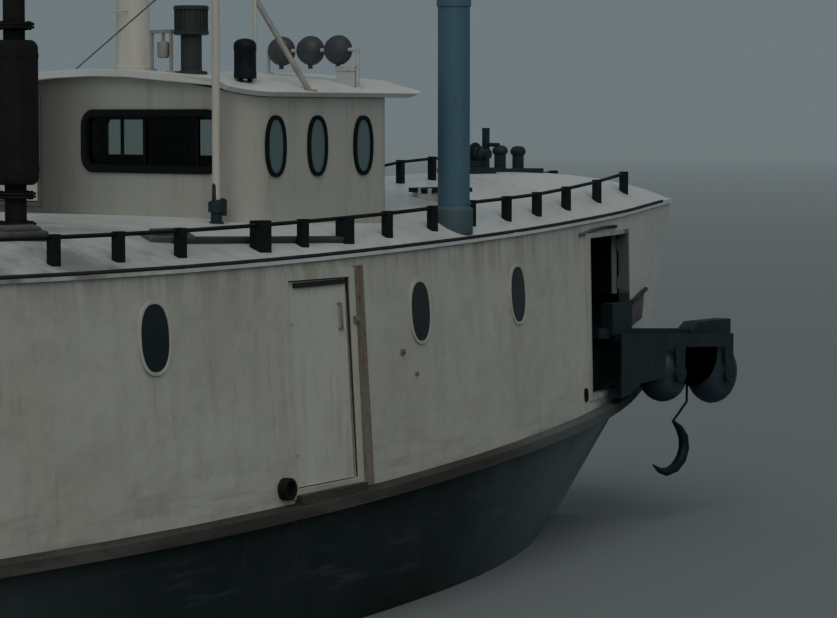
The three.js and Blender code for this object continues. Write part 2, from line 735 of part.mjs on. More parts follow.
function deckRing(share, top, bottom, lip) {
  const edge = levels.deck.getPoint(share);
  const upper = [new THREE.Vector3(edge.x, edge.y + lip, edge.z)];
  for (let step = crown.across / 2; step >= -crown.across / 2; step -= 1) {
    const y = (edge.y * 2 * step) / crown.across;
    upper.push(new THREE.Vector3(edge.x, y, edge.z + crownStep(edge.x, step)));
  }
  upper.push(new THREE.Vector3(edge.x, -edge.y - lip, edge.z));
  const raised = upper.map((point) => point.clone().setZ(point.z + top));
  const lowered = upper.map((point) => point.clone().setZ(point.z + bottom)).reverse();
  return [...raised, ...lowered];
}

function deckSolid(top, bottom, lip) {
  return loft(shares.map((share) => deckRing(share, top, bottom, lip)));
}

const underDeck = deckSolid(seat, -900, 200);

function onDeck(body) {
  return body.subtract(underDeck);
}

function makeDeck() {
  const { aft, front, half } = well;
  const hole = span(aft - seat, front + seat, -half - seat, half + seat, 2000, 5000);
  const clear = hatch.size / 2 - hatch.wall;
  const hatchway = span(hatch.x - clear, hatch.x + clear, hatch.y - clear, hatch.y + clear, 2000, 5000);
  return deckSolid(0, -deckThickness, deckLip).subtract(hole).subtract(hatchway);
}

function makeWell() {
  const { aft, front, half, floor, wall, rim } = well;
  const outer = span(aft, front, -half, half, floor - wall, rim);
  const inner = span(aft + wall, front - wall, -half + wall, half - wall, floor, rim + 10);
  return outer.subtract(inner);
}

// Wheelhouse

function housePlan(grow, aftCorner, frontCorner) {
  const { aft, front, half } = house;
  const shape = new THREE.Shape();
  const [x0, x1, y] = [aft - grow, front + grow, half + grow];
  shape.moveTo(x0 + aftCorner, -y);
  shape.lineTo(x1 - frontCorner, -y);
  shape.absarc(x1 - frontCorner, -y + frontCorner, frontCorner, -Math.PI / 2, 0);
  shape.lineTo(x1, y - frontCorner);
  shape.absarc(x1 - frontCorner, y - frontCorner, frontCorner, 0, Math.PI / 2);
  shape.lineTo(x0 + aftCorner, y);
  shape.absarc(x0 + aftCorner, y - aftCorner, aftCorner, Math.PI / 2, Math.PI);
  shape.lineTo(x0, -y + aftCorner);
  shape.absarc(x0 + aftCorner, -y + aftCorner, aftCorner, Math.PI, Math.PI * 1.5);
  return shape;
}

function roofRing(x, top, bottom, extra) {
  const across = 8;
  const curve = [];
  for (let i = 0; i <= across; i += 1) {
    const part = 1 - (2 * i) / across;
    curve.push(new THREE.Vector3(x, roof.half * part, roof.eave + roof.camber * (1 - part ** 2)));
  }
  if (extra > 0) {
    curve.unshift(new THREE.Vector3(x, roof.half + extra, roof.eave));
    curve.push(new THREE.Vector3(x, -roof.half - extra, roof.eave));
  }
  const upper = curve.map((point) => point.clone().setZ(point.z + top));
  const lower = curve.map((point) => point.clone().setZ(point.z + bottom)).reverse();
  return [...upper, ...lower];
}

function roofSolid(top, bottom, x0, x1, extra) {
  return loft([roofRing(x0, top, bottom, extra), roofRing(x1, top, bottom, extra)]);
}

function makeRoof() {
  const { aft, front, half, thickness, corner } = roof;
  const plan = slab(roundedShape(aft, front, -half, half, corner), 2000, 6).translate(0, 0, 3500);
  return roofSolid(thickness, 0, aft, front, 0).intersect(solid(plan));
}

function wallRing() {
  const { wall, corner, frontCorner } = house;
  const outer = solid(slab(housePlan(0, corner, frontCorner), 2200, 5).translate(0, 0, 2800));
  const innerPlan = housePlan(-wall, corner - wall, frontCorner - wall);
  const inner = solid(slab(innerPlan, 2400, 5).translate(0, 0, 2700));
  const roofCut = roofSolid(900, -seat, roof.aft - 300, roof.front + 300, 200);
  return onDeck(outer.subtract(inner)).subtract(roofCut);
}

function housePortCutters(hand) {
  return housePorts.xs.map((x) => {
    const cutter = ovalCutter(housePorts.width, housePorts.height);
    const turn = new THREE.Matrix4().makeRotationX(Math.PI / 2);
    return placed(cutter, turn.setPosition(x, hand * house.half, housePorts.z));
  });
}

function acrossPane(x, y0, y1, z0, z1, corner, thickness) {
  const shape = roundedShape(y0, y1, z0, z1, corner);
  const geometry = slab(shape, thickness, 3);
  const basis = new THREE.Matrix4().makeBasis(
    new THREE.Vector3(0, 1, 0),
    new THREE.Vector3(0, 0, 1),
    new THREE.Vector3(1, 0, 0),
  );
  return solid(geometry.applyMatrix4(basis.setPosition(x, 0, 0)));
}

function frontWindowSpans() {
  const { count, width, gap } = frontWindow;
  const pitch = width + gap;
  return Array.from({ length: count }, (_, i) => {
    const middle = (i - (count - 1) / 2) * pitch;
    return [middle - width / 2, middle + width / 2];
  });
}

function makeHouseDoor() {
  const { y, width, height, sill, leaf, jamb } = houseDoor;
  const bottom = deckHeight(house.aft, y - width / 2) + sill;
  const u = new THREE.Vector3(0, -1, 0);
  const v = new THREE.Vector3(0, 0, 1);
  const w = new THREE.Vector3(-1, 0, 0);
  const origin = new THREE.Vector3(house.aft, y, bottom + height / 2);
  const matrix = new THREE.Matrix4().makeBasis(u, v, w).setPosition(origin);
  const door = makeDoor({
    width, height, jamb, leaf, recess: 16, hingeSide: -1, swing: 1, back: -62, front: 12,
  });
  return { ...door, place: { matrix, u, v, w, origin } };
}

// Doors and topsides, put together

const sideDoorParts = makeSideDoor();
const bowDoorParts = makeBowDoor();
const sternParts = makeSternDoors();
const houseDoorParts = makeHouseDoor();

function makeStarboardShell() {
  let shell = mirrored(portShell());
  shell = shell.subtract(placed(sideDoorParts.hole, sideDoorParts.place.matrix));
  shell = shell.subtract(placed(bowDoorParts.hole, bowDoorParts.place.matrix));
  hullPorts.forEach(({ x, up }) => {
    const cutter = placed(ovalCutter(hullPort.width, hullPort.height), wallFrame(x, up).matrix);
    shell = shell.subtract(cutter);
  });
  return shell;
}

function makePortShell() {
  let shell = mirrored(portShell());
  shell = shell.subtract(placed(sideDoorParts.hole, sideDoorParts.place.matrix));
  hullPorts.forEach(({ x, up }) => {
    const cutter = placed(ovalCutter(hullPort.width, hullPort.height), wallFrame(x, up).matrix);
    shell = shell.subtract(cutter);
  });
  return mirrored(shell);
}

add("hull_lower", makeHull(), "hull");
add("engine_block", makeEngine(), "steel");
add("rub_rail", makeGuard(), "guard");
add("stem_bar", makeStemBar(), "white");
add("side_starboard", makeStarboardShell(), "white");
add("side_port", makePortShell(), "white");
add("stern_wall", makeSternWall().subtract(placed(sternParts.hole, sternParts.place.matrix)), "white");
add("turtleback_deck", makeDeck(), "deck");

const sideFrame = placed(sideDoorParts.casing, sideDoorParts.place.matrix);
add("side_door_frame_starboard", sideFrame, "white");
addDoor("side_door_starboard", sideDoorParts, "white");
add("side_door_frame_port", mirrored(sideFrame), "white");
addPortDoor();
add("bow_door_frame", placed(bowDoorParts.casing, bowDoorParts.place.matrix), "white");
addDoor("bow_door_leaf", bowDoorParts, "white");
add("stern_door_frame", placed(sternParts.casing, sternParts.place.matrix), "white");
addDoor("stern_door_starboard", sternParts.leaves.starboard, "white");
addDoor("stern_door_port", sternParts.leaves.port, "white");

function addPortDoor() {
  const { pivot, axis } = doorPivot(sideDoorParts);
  const panel = mirrored(placed(sideDoorParts.panel, sideDoorParts.place.matrix));
  const portAxis = new THREE.Vector3(-axis.x, axis.y, -axis.z);
  addTurning("side_door_port", panel, "white", toStarboard(pivot), portAxis);
}

function addWheelhouse() {
  const { aft, front, half, wall, corner, frontCorner } = house;
  const ring = wallRing();
  const cut = seat / 2;
  const sideEdge = half - corner;
  const frontEdge = half - frontCorner;
  const middle = (aft + front) / 2;
  const aftBox = span(aft - 50, middle, -sideEdge + cut, sideEdge - cut, 2500, 5200);
  const frontBox = span(middle, front + 50, -frontEdge + cut, frontEdge - cut, 2500, 5200);
  const aftBoxWide = span(aft - 50, middle, -sideEdge - cut, sideEdge + cut, 2500, 5200);
  const frontBoxWide = span(middle, front + 50, -frontEdge - cut, frontEdge + cut, 2500, 5200);
  const { from, to, bottom, top } = aftWindow;
  const aftCut = acrossPane(aft - 100, from, to, bottom, top, aftWindow.corner, 300);
  let aftWall = ring.intersect(aftBox).subtract(placed(houseDoorParts.hole, houseDoorParts.place.matrix));
  aftWall = aftWall.subtract(aftCut);
  add("wheelhouse_aft_wall", aftWall, "white");
  let frontWall = ring.intersect(frontBox);
  const panes = frontWindowSpans();
  panes.forEach(([y0, y1]) => {
    const { bottom: low, top: high, corner: round } = frontWindow;
    frontWall = frontWall.subtract(acrossPane(front - 200, y0, y1, low, high, round, 400));
  });
  add("wheelhouse_front_wall", frontWall, "white");
  const rest = ring.subtract(aftBoxWide).subtract(frontBoxWide);
  [["starboard", -1], ["port", 1]].forEach(([name, hand]) => {
    const sideBox = hand < 0 ? span(0, 4000, -3000, -100, 2500, 5200) : span(0, 4000, 100, 3000, 2500, 5200);
    let side = rest.intersect(sideBox);
    housePortCutters(hand).forEach((cutter) => {
      side = side.subtract(cutter);
    });
    add(`wheelhouse_side_${name}`, side, "white");
  });
  add("wheelhouse_roof", makeRoof(), "white");
  add("wheelhouse_floor", makeWell(), "grey");
  const glassX = aft + wall / 2 - pane / 2;
  const inset = seat;
  const clear = acrossPane(
    glassX, from + inset, to - inset, bottom + inset, top - inset, aftWindow.corner, pane,
  );
  add("aft_window_pane", clear, "glass");
  ["port_side", "centre", "starboard_side"].forEach((name, i) => {
    const [y0, y1] = [...panes].reverse()[i];
    const { bottom: low, top: high, corner: round } = frontWindow;
    const glass = acrossPane(
      front - wall / 2 - pane / 2, y0 + inset, y1 - inset, low + inset, high - inset, round, pane,
    );
    add(`front_window_${name}`, glass, "glass");
  });
  add("wheelhouse_door_frame", placed(houseDoorParts.casing, houseDoorParts.place.matrix), "white");
  addDoor("wheelhouse_door", houseDoorParts, "white");
}
addWheelhouse();

// What stands inside the wheelhouse

function addHelm() {
  const { front, floor, wall } = well;
  const back = front - wall - 40;
  const base = floor + seat;
  const desk = union([
    span(back - 330, back, -900, 500, base, base + 950),
    span(back - 430, back - 20, -950, 550, base + 940, base + 1000),
    span(back - 250, back - 60, -500, -150, base + 990, base + 1230),
    rod(30, [back - 320, 0, base + 850], [back - 400, 0, base + 880], 8),
  ]);
  add("helm_console", desk, "grey");
  const hubStart = [back - 400 - seat, 0, base + 880];
  const tilt = new THREE.Vector3(-80, 0, 30).normalize();
  const hubEnd = new THREE.Vector3(...hubStart).addScaledVector(tilt, 130);
  let wheel = rod(28, hubStart, hubEnd.toArray(), 12);
  const rimCentre = new THREE.Vector3(...hubStart).addScaledVector(tilt, 110);
  const rim = new THREE.TorusGeometry(helmWheel.radius, helmWheel.tube, 6, 18);
  const turn = new THREE.Quaternion().setFromUnitVectors(new THREE.Vector3(0, 0, 1), tilt);
  const matrix = new THREE.Matrix4().makeRotationFromQuaternion(turn).setPosition(rimCentre);
  wheel = wheel.add(placed(solid(rim), matrix));
  for (let i = 0; i < helmWheel.spokes; i += 1) {
    const angle = (i / helmWheel.spokes) * Math.PI * 2;
    const tip = new THREE.Vector3(Math.cos(angle), Math.sin(angle), 0).multiplyScalar(helmWheel.radius);
    wheel = wheel.add(rod(9, rimCentre.toArray(), tip.applyMatrix4(matrix).toArray(), 8));
  }
  addTurning("steering_wheel", wheel, "black", rimCentre, tilt);
  const chair = union([
    rod(200, [1330, 0, base], [1330, 0, base + 30], 12),
    rod(35, [1330, 0, base + 20], [1330, 0, base + 700], 8),
    span(1130, 1530, -220, 220, base + 690, base + 770),
    span(1130, 1190, -210, 210, base + 760, base + 1250),
  ]);
  add("helm_chair", chair, "black");
}
addHelm();

// Rails

function railPath(hand, xs) {
  return xs.map((x) => {
    const edge = levels.deck.getPoint(shareAt("deck", x));
    const normal = planNormal(shareAt("deck", x));
    const y = edge.y - rail.inset / Math.max(0.35, Math.abs(normal.y));
    return new THREE.Vector3(x, hand * y, deckHeight(x, y));
  });
}

function addRail(name, hand, xs, boxes) {
  const path = railPath(hand, xs);
  const lift = rail.height - rail.tube - 6;
  const parts = path.map(({ x, y, z }) => {
    const { length, width, height } = boxes.find((box) => box.x === x)
      ?? { length: rail.postWidth, width: rail.postDepth, height: rail.height };
    return onDeck(span(x - length / 2, x + length / 2, y - width / 2, y + width / 2, z - 80, z + height));
  });
  path.slice(1).forEach((b, i) => {
    const a = path[i];
    parts.push(rod(rail.tube, [a.x, a.y, a.z + lift], [b.x, b.y, b.z + lift], 5));
  });
  add(name, union(parts), "black");
}
addRail("rail_starboard_fore", -1, railPosts.filter((x) => x > foremast.x), []);
addRail("rail_starboard_aft", -1, railPosts.filter((x) => x < foremast.x), railBoxes);
addRail("rail_port", 1, railPosts, []);

// Mast, poles, stays

function standing(radius, x, y, top, sides = 14, endRadius = radius) {
  return onDeck(rod(radius, [x, y, deckHeight(x, y) - 150], [x, y, top], sides, endRadius));
}

function addForemast() {
  const { x, y, radius, footRadius, footRise, top, capRadius, capRise, armHalf, armWide } = foremast;
  const { armFrom, armTo, eyeIn, eyeOut, eyeFrom, eyeTo } = foremast;
  const foot = deckHeight(x, y);
  add("foremast", union([
    standing(radius, x, y, top),
    onDeck(rod(footRadius, [x, y, foot - 150], [x, y, foot + footRise], 12)),
    rod(capRadius, [x, y, top], [x, y, top + capRise], 14),
    span(x - armWide, x + armWide, y - armHalf, y + armHalf, top - armFrom, top - armTo),
    span(x - eyeOut, x - eyeIn, y - armWide, y + armWide, top - eyeFrom, top - eyeTo),
    span(x + eyeIn, x + eyeOut, y - armWide, y + armWide, top - eyeFrom, top - eyeTo),
  ]), "mast");
}
addForemast();

function addRoofMast() {
  const { x, y, radius, topRadius, top, capOut, capRise, lampRadius, lampTop } = roofMast;
  const up = (size, low, high, sides, endSize = size) => rod(size, [x, y, low], [x, y, high], sides, endSize);
  add("roof_mast", onRoof(union([
    up(radius, roofHeight(y) - 100, top, 14, topRadius),
    up(topRadius + capOut, top, top + capRise, 14),
    up(lampRadius, top + capRise / 2, top + lampTop, 10),
  ])), "cream");
}

function addDeckPole() {
  const { x, y, radius, top, footRadius, footRise, knob, pump, lever } = deckPole;
  const foot = deckHeight(x, y);
  add("deck_pole", union([
    standing(radius, x, y, top, 10),
    onDeck(rod(footRadius, [x, y, foot - 100], [x, y, foot + footRise], 8)),
    rod(pump.radius, [x + pump.ahead, y, foot + pump.from], [x + pump.ahead, y, foot + pump.to], 8),
    rod(lever.radius, [x + lever.ahead, y, foot + lever.from], [x + lever.ahead, y, foot + lever.to], 6),
    ball(knob, x, y, top),
  ]), "cream");
}

function addRoofPole() {
  const { x, y, radius, top, footRadius, footRise } = roofPole;
  const base = roofHeight(y);
  add("roof_pole", onRoof(union([
    rod(radius, [x, y, base - 100], [x, y, top], 6),
    rod(footRadius, [x, y, base - 60], [x, y, base + footRise], 8),
  ])), "cream");
}

function addRoofStrut() {
  const { x, y, radius, below } = roofStrut;
  const mast = roofMast;
  const brace = rod(radius, [x, y, roofHeight(y) - 40], [mast.x + 60, mast.y - 20, mast.top - below], 6);
  const [low, high] = [[mast.x, mast.y, roofHeight(mast.y)], [mast.x, mast.y, mast.top]];
  const mastCut = rod(mast.radius + seat, low, high, 14, mast.topRadius + seat);
  add("roof_strut", largest(onRoof(brace).subtract(mastCut)), "rust");
}

function roofHeight(y) {
  return roof.eave + roof.thickness + roof.camber * (1 - (y / roof.half) ** 2);
}

const underRoof = roofSolid(roof.thickness + seat, -1500, roof.aft - 400, roof.front + 400, 300);

function onRoof(body) {
  return body.subtract(underRoof);
}
addRoofMast();
addDeckPole();
addRoofPole();
addRoofStrut();

function addRoofVent() {
  const { x, y, stem, cap, stemTop, capFrom, capTo, collar } = roofVent;
  const base = roofHeight(y);
  add("roof_vent", onRoof(union([
    rod(stem, [x, y, base - 80], [x, y, stemTop], 12),
    rod(cap, [x, y, capFrom], [x, y, capTo], 14),
    rod(collar, [x, y, base - 80], [x, y, base + 20], 12),
  ])), "black");
}

function addRoofBracket() {
  const { x, y, leg, legYs, rise, barWide, barRise, drop, device, deviceFrom, deviceTo } = roofBracket;
  const foot = roofHeight(y);
  const legs = legYs.map((across) => rod(leg, [x, y + across, foot - 100], [x, y + across, foot + rise], 6));
  const ends = legYs.map((across) => y + across + Math.sign(across) * leg).sort((a, b) => a - b);
  add("roof_bracket", onRoof(union([
    ...legs,
    span(x - barWide, x + barWide, ends[0], ends[1], foot + rise - barWide, foot + barRise),
    rod(drop, [x, y, foot + deviceFrom + 20], [x, y, foot + rise - 10], 6),
    rod(device, [x, y, foot + deviceFrom], [x, y, foot + deviceTo], 8),
  ])), "grey");
}

function addCanister() {
  const { x, y, radius, from, to, dome, footIn, footOut, footHalf } = canister;
  const stand = roofHeight(y);
  const top = new THREE.SphereGeometry(radius, 12, 4).scale(1, 1, dome).translate(x, y, stand + to - 2);
  add("roof_canister", onRoof(union([
    rod(radius, [x, y, stand + from], [x, y, stand + to], 12),
    solid(top),
    span(x - footOut, x - footIn, y - footHalf, y + footHalf, stand - 60, stand + from + 20),
    span(x + footIn, x + footOut, y - footHalf, y + footHalf, stand - 60, stand + from + 20),
  ])), "black");
}

function addLampRow() {
  const { x, ys, z, radius, flat, rod: bar, ends } = lamps;
  const balls = ys.map((y) => (
    solid(new THREE.SphereGeometry(radius, 10, 6).scale(flat, 1, 1).translate(x, y, z))
  ));
  const legs = ends.map((y) => rod(bar, [x, y, roofHeight(y) - 60], [x, y, z + bar], 6));
  add("roof_lamp_row", onRoof(union([
    ...balls,
    rod(bar, [x, ends[0], z], [x, ends[1], z], 6),
    ...legs,
  ])), "black");
}
addRoofVent();
addRoofBracket();
addCanister();
addLampRow();

function addSilencer() {
  const { x, y, radius, bottom, top, cone, coneIn, neck, flange, flangeThick, stack } = silencer;
  const foot = deckHeight(x, y);
  const up = (size, low, high, sides, endSize = size) => rod(size, [x, y, low], [x, y, high], sides, endSize);
  const mouth = [x - silencer.elbow, y, stack + silencer.elbowRise];
  const body = union([
    up(radius, bottom + cone, top - cone, 14),
    up(radius - coneIn, bottom, bottom + cone, 14, radius),
    up(radius, top - cone, top, 14, radius - coneIn),
    onDeck(up(neck, foot - 150, bottom + 20, 8)),
    onDeck(up(flange, foot - 150, foot + 25, 10)),
    up(flange, bottom - 100, bottom - 100 + flangeThick, 10),
    up(neck, top - 20, stack, 8),
    up(flange, top + 90, top + 90 + flangeThick, 10),
    ball(neck, x, y, stack),
    rod(neck, [x, y, stack], mouth, 8),
  ]);
  add("silencer", body, "rust");
}
addSilencer();

// Foredeck

function addWindlass() {
  const { x, y, bore, shaft: shaftRadius, sides, lift, cheekOut, cheek: thick, cheekHalf } = windlass;
  const { hubRadius, cheekRise, bedHalf, bedWide, bedRise, barrel, barrelHalf, rim, rimWide } = windlass;
  const { warp, warpOut, stub } = windlass;
  const base = deckHeight(x, y);
  const axle = base + lift;
  const across = (radius, from, to, count = sides, endRadius = radius) => (
    rod(radius, [x, y + from, axle], [x, y + to, axle], count, endRadius)
  );
  const cheeks = [-1, 1].map((hand) => {
    const [inner, outer] = [hand * cheekOut - thick, hand * cheekOut + thick];
    const plate = span(x - cheekHalf, x + cheekHalf, y + inner, y + outer, base - 120, base + cheekRise);
    return onDeck(plate).add(across(hubRadius, inner, outer, 16));
  });
  const bed = onDeck(span(x - bedHalf, x + bedHalf, y - bedWide, y + bedWide, base - 120, base + bedRise));
  const postX = x + hubRadius + brake.half;
  const [postLow, postHigh] = [base + bedRise - 20, base + brake.rise];
  const post = span(
    postX - brake.half, postX + brake.half, brake.y - thick, brake.y + thick, postLow, postHigh,
  );
  const barZ = base + brake.barRise;
  const handle = rod(brake.bar, [postX, brake.y, barZ], [postX, brake.y - brake.barOut, barZ], 8);
  add("windlass_frame", union([...cheeks, bed, post, handle]).subtract(across(bore, -400, 400)), "black");
  const end = cheekOut + thick + 12;
  const drum = union([
    across(shaftRadius, -end - 10, end + stub),
    across(barrel, -barrelHalf, barrelHalf, 14),
    across(rim, -barrelHalf - 4, -barrelHalf - 4 + rimWide, 14),
    across(rim, barrelHalf + 4 - rimWide, barrelHalf + 4, 14),
    across(warp, -end - warpOut, -end, 12, warp - 14),
  ]);
  addTurning("windlass_drum", drum, "black", new THREE.Vector3(x, y, axle), new THREE.Vector3(0, 1, 0));
}
addWindlass();

function addBitts() {
  const { x: middle, y, pitch, radius, head, height, plateHalf, plateWide } = bitts;
  const posts = [middle - pitch / 2, middle + pitch / 2].map((x) => {
    const base = deckHeight(x, y);
    const top = new THREE.SphereGeometry(head, 12, 6).scale(1, 1, 0.6).translate(x, y, base + height);
    return rod(radius, [x, y, base - 40], [x, y, base + height], 12).add(solid(top));
  });
  const plateTop = deckHeight(middle, y) + 32;
  const [x0, x1] = [middle - plateHalf, middle + plateHalf];
  const plate = span(x0, x1, y - plateWide, y + plateWide, plateTop - 200, plateTop);
  add("foredeck_bitts", onDeck(union([...posts, plate])), "black");
}
addBitts();

function addHatch() {
  const { x, y, size, rise, wall, lid: lidThickness, overhang, pin, pinOut } = hatch;
  const half = size / 2;
  const top = deckHeight(x - half, y + half) + rise;
  const square = (grow, low, high) => {
    const reach = half + grow;
    return span(x - reach, x + reach, y - reach, y + reach, low, high);
  };
  const coaming = onDeck(square(0, top - 400, top).subtract(square(-wall, top - 500, top + 10)));
  const lidZ = top + seat;
  const pinX = x - half - pinOut;
  const pinZ = lidZ + lidThickness - pin - 1;
  const cover = union([
    square(overhang, lidZ, lidZ + lidThickness),
    span(pinX, x - half, y - 40, y + 40, pinZ - pin, pinZ + pin / 2),
    rod(pin, [pinX, y - 40, pinZ], [pinX, y + 40, pinZ], 8),
  ]);
  addTurning(
    "foredeck_hatch_lid", cover, "black", new THREE.Vector3(pinX, y, pinZ), new THREE.Vector3(0, -1, 0),
  );
  const lugs = [-1, 1].map((hand) => {
    const [y0, y1] = [y + hand * 41, y + hand * 70].sort((a, b) => a - b);
    const arm = onDeck(span(pinX - pin, pinX + 8, y0, y1, top - 400, pinZ));
    return arm.add(rod(pin, [pinX, y0, pinZ], [pinX, y1, pinZ], 8));
  });
  const foot = onDeck(span(pinX - pin, x - half + 10, y - 75, y + 75, top - 400, top - 12));
  add("foredeck_hatch_coaming", union([coaming, ...lugs, foot]), "white");
}
addHatch();

function addForedeckRail() {
  const { xs, fromY, toY, height, post, tube } = foredeckRail;
  const path = xs.map((x, i) => {
    const y = fromY + ((toY - fromY) * i) / (xs.length - 1);
    return { x, y, base: deckHeight(x, y) };
  });
  const parts = path.map(({ x, y, base }) => onDeck(
    span(x - post / 2, x + post / 2, y - post / 2, y + post / 2, base - 80, base + height),
  ));
  path.slice(1).forEach((b, i) => {
    const a = path[i];
    const lift = height - tube - 6;
    parts.push(rod(tube, [a.x, a.y, a.base + lift], [b.x, b.y, b.base + lift], 6));
  });
  add("rail_foredeck", union(parts), "black");
}
addForedeckRail();

function addDeckPipe() {
  const { fromX, toX, y, radius, lift } = deckPipe;
  const ends = [fromX, toX].map((x) => [x, y, deckHeight(x, y) + lift]);
  add("deck_pipe", onDeck(rod(radius, ends[0], ends[1], 8)), "grey");
}
addDeckPipe();

// Pipe end on the topsides, just above the guard
function addOutlet() {
  const { x, above, radius, length, bore, depth } = outlet;
  const { matrix } = wallFrame(x, above / wallHeight(x));
  const end = rod(radius, [0, 0, -30], [0, 0, length], 14)
    .subtract(rod(bore, [0, 0, length - depth], [0, 0, length + 10], 12));
  add("side_outlet", placed(end, matrix).subtract(mirrored(portShell(seat))), "rust");
}
addOutlet();

// Net rollers

function armTop(x) {
  return arm.top - arm.fall * (x - arm.topAt);
}

// A plate standing fore and aft, from an outline of x and z
function plateAcross(outline, y0, y1) {
  const shape = new THREE.Shape(outline.map(([x, z]) => new THREE.Vector2(x, z)));
  const stand = new THREE.Matrix4().makeRotationX(Math.PI / 2);
  return solid(slab(shape, y1 - y0).applyMatrix4(stand).translate(0, y1, 0));
}

// A fat barrel that turns on its axle
function rollerBody({ x, z, radius }) {
  const { y, half, hub, hubOut, bore } = roller;
  const barrel = [[0.64, 1], [0.82, 0.8], [0.93, 0.52], [1, 0]].map(
    ([share, along]) => [radius * share, half * along],
  );
  return turnedAcross([
    [bore, -half - hubOut], [hub, -half - hubOut], [hub, -half],
    ...barrel.map(([size, along]) => [size, -along]),
    ...barrel.slice(0, -1).reverse(),
    [hub, half], [hub, half + hubOut], [bore, half + hubOut], [bore, -half - hubOut],
  ], x, y, z, 20);
}

function makeHook(top) {
  const { y } = roller;
  const sides = 8;
  const rings = hookPath.map(([x, z, radius], i) => {
    const before = hookPath[Math.max(0, i - 1)];
    const after = hookPath[Math.min(hookPath.length - 1, i + 1)];
    const way = new THREE.Vector3(after[0] - before[0], 0, after[1] - before[1]).normalize();
    const across = new THREE.Vector3(0, 1, 0);
    const other = way.clone().cross(across);
    return Array.from({ length: sides }, (_, k) => {
      const angle = (k / sides) * Math.PI * 2;
      return new THREE.Vector3(x, y, z)
        .addScaledVector(across, Math.cos(angle) * radius)
        .addScaledVector(other, Math.sin(angle) * radius);
    });
  });
  const [eyeX, eyeZ] = hookPath[0];
  return union([
    loft(rings),
    rod(pendant.radius, [pendant.x, y, top], [pendant.x, y, pendant.bend - 4], 8),
    rod(pendant.radius, [pendant.x + 3, y, pendant.bend], [eyeX, y, eyeZ - 6], 8),
  ]);
}

// The arm's two side plates, with the chute's floor and cross bars between them
function makeCheeks() {
  const { y } = roller;
  const { out, plate, crossXs, crossHalf, below, above } = cheek;
  const outer = out + plate;
  const floor = plateAcross(chuteFloor, y - outer, y + outer);
  const bars = crossXs.map((x) => {
    const low = armTop(x) - arm.size;
    return span(x - crossHalf, x + crossHalf, y - outer, y + outer, low - below, low + above);
  });
  const sides = [
    plateAcross(cheekOutline, y - outer, y - out),
    plateAcross(cheekOutline, y + out, y + outer),
  ];
  const sill = mirrored(portShell(chute.clear)).intersect(span(6000, 8000, -3000, 0, 1000, chute.overSill));
  return largest(union([...sides, floor, ...bars]).subtract(sill));
}

function makeArm() {
  const { y } = roller;
  const { postX, postY, postHalf, front, size } = arm;
  const half = size / 2;
  const [aftX, foreX] = [postX - postHalf, postX + postHalf];
  const deckZ = levels.guard.getPoint(shareAt("guard", postX)).z;
  const postTop = armTop(postX);
  const beam = [
    [aftX, armTop(aftX) - size], [aftX, armTop(aftX)], [front, armTop(front)], [front, armTop(front) - size],
  ];
  return [
    plateAcross(beam, y - half, y + half),
    span(aftX, foreX, y - half, postY + postHalf, postTop - size, postTop),
    span(aftX, foreX, postY - postHalf, postY + postHalf, deckZ - 50, postTop),
    plateAcross(armBox, y - armBoxHalf, y + armBoxHalf),
    span(
      fairlead.from, fairlead.to, fairlead.y - fairlead.half, fairlead.y + fairlead.half,
      armTop(fairlead.to) - size / 2, fairlead.top,
    ),
  ];
}

function addRollers() {
  const { y, axle, boss } = roller;
  const side = cheek.out + cheek.plate;
  const frame = [...makeArm(), makeCheeks()];
  rollers.forEach(({ x, z }) => {
    frame.push(rod(axle, [x, y - side - 20, z], [x, y + side + 20, z], 10));
    [-1, 1].forEach((hand) => {
      const [inner, outer] = [y + hand * cheek.out, y + hand * (side + 14)];
      frame.push(rod(boss, [x, inner, z], [x, outer, z], 12));
    });
  });
  const hullTop = loft(shares.map((share) => {
    const edge = levels.guard.getPoint(share);
    const at = (hand, dz) => new THREE.Vector3(edge.x, hand * (edge.y + 50), edge.z + dz);
    return [at(-1, seat), at(1, seat), at(1, -400), at(-1, -400)];
  }));
  add("bow_roller_frame", union(frame).subtract(hullTop), "black");
  rollers.forEach((row) => {
    const pivot = new THREE.Vector3(row.x, y, row.z);
    addTurning(`bow_roller_${row.name}`, rollerBody(row), "black", pivot, new THREE.Vector3(0, 1, 0));
  });
  add("pickup_hook", makeHook(armTop(pendant.x + pendant.radius) - arm.size - seat), "black");
}
addRollers();

// Stern gear

function addSternGear() {
  const { z, bossBack } = shaft;
  const hubX = bossBack - 110;
  const hub = rod(100, [bossBack - seat, 0, z], [bossBack - 240, 0, z], 12, 60);
  const blades = [];
  for (let i = 0; i < propeller.blades; i += 1) {
    const angle = (i / propeller.blades) * Math.PI * 2;
    const shape = new THREE.Shape();
    const { radius, wide, tall, from } = propeller;
    shape.absellipse(0, radius * from, radius * wide, radius * tall, 0, Math.PI * 2);
    const blade = slab(shape, propeller.thick, 4).translate(0, 0, -propeller.thick / 2);
    blade.rotateY(THREE.MathUtils.degToRad(propeller.pitch));
    blade.rotateX(angle);
    blades.push(solid(blade.translate(hubX, 0, z)));
  }
  addTurning(
    "propeller", union([hub, ...blades]), "bronze",
    new THREE.Vector3(hubX, 0, z), new THREE.Vector3(1, 0, 0),
  );
  const { stockX, front, back, top, bottom, stockTop, half } = rudder;
  addTurning("rudder", union([
    span(back, front, -half, half, bottom, top),
    rod(half + 12, [stockX, 0, skeg.bottom + 90 + seat], [stockX, 0, stockTop - seat], 10),
  ]), "hull", new THREE.Vector3(stockX, 0, (top + bottom) / 2), new THREE.Vector3(0, 0, 1));
}
addSternGear();

export default boat;
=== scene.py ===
import json
import math

import bmesh
import bpy
from mathutils import Matrix, Vector
from mathutils.bvhtree import BVHTree


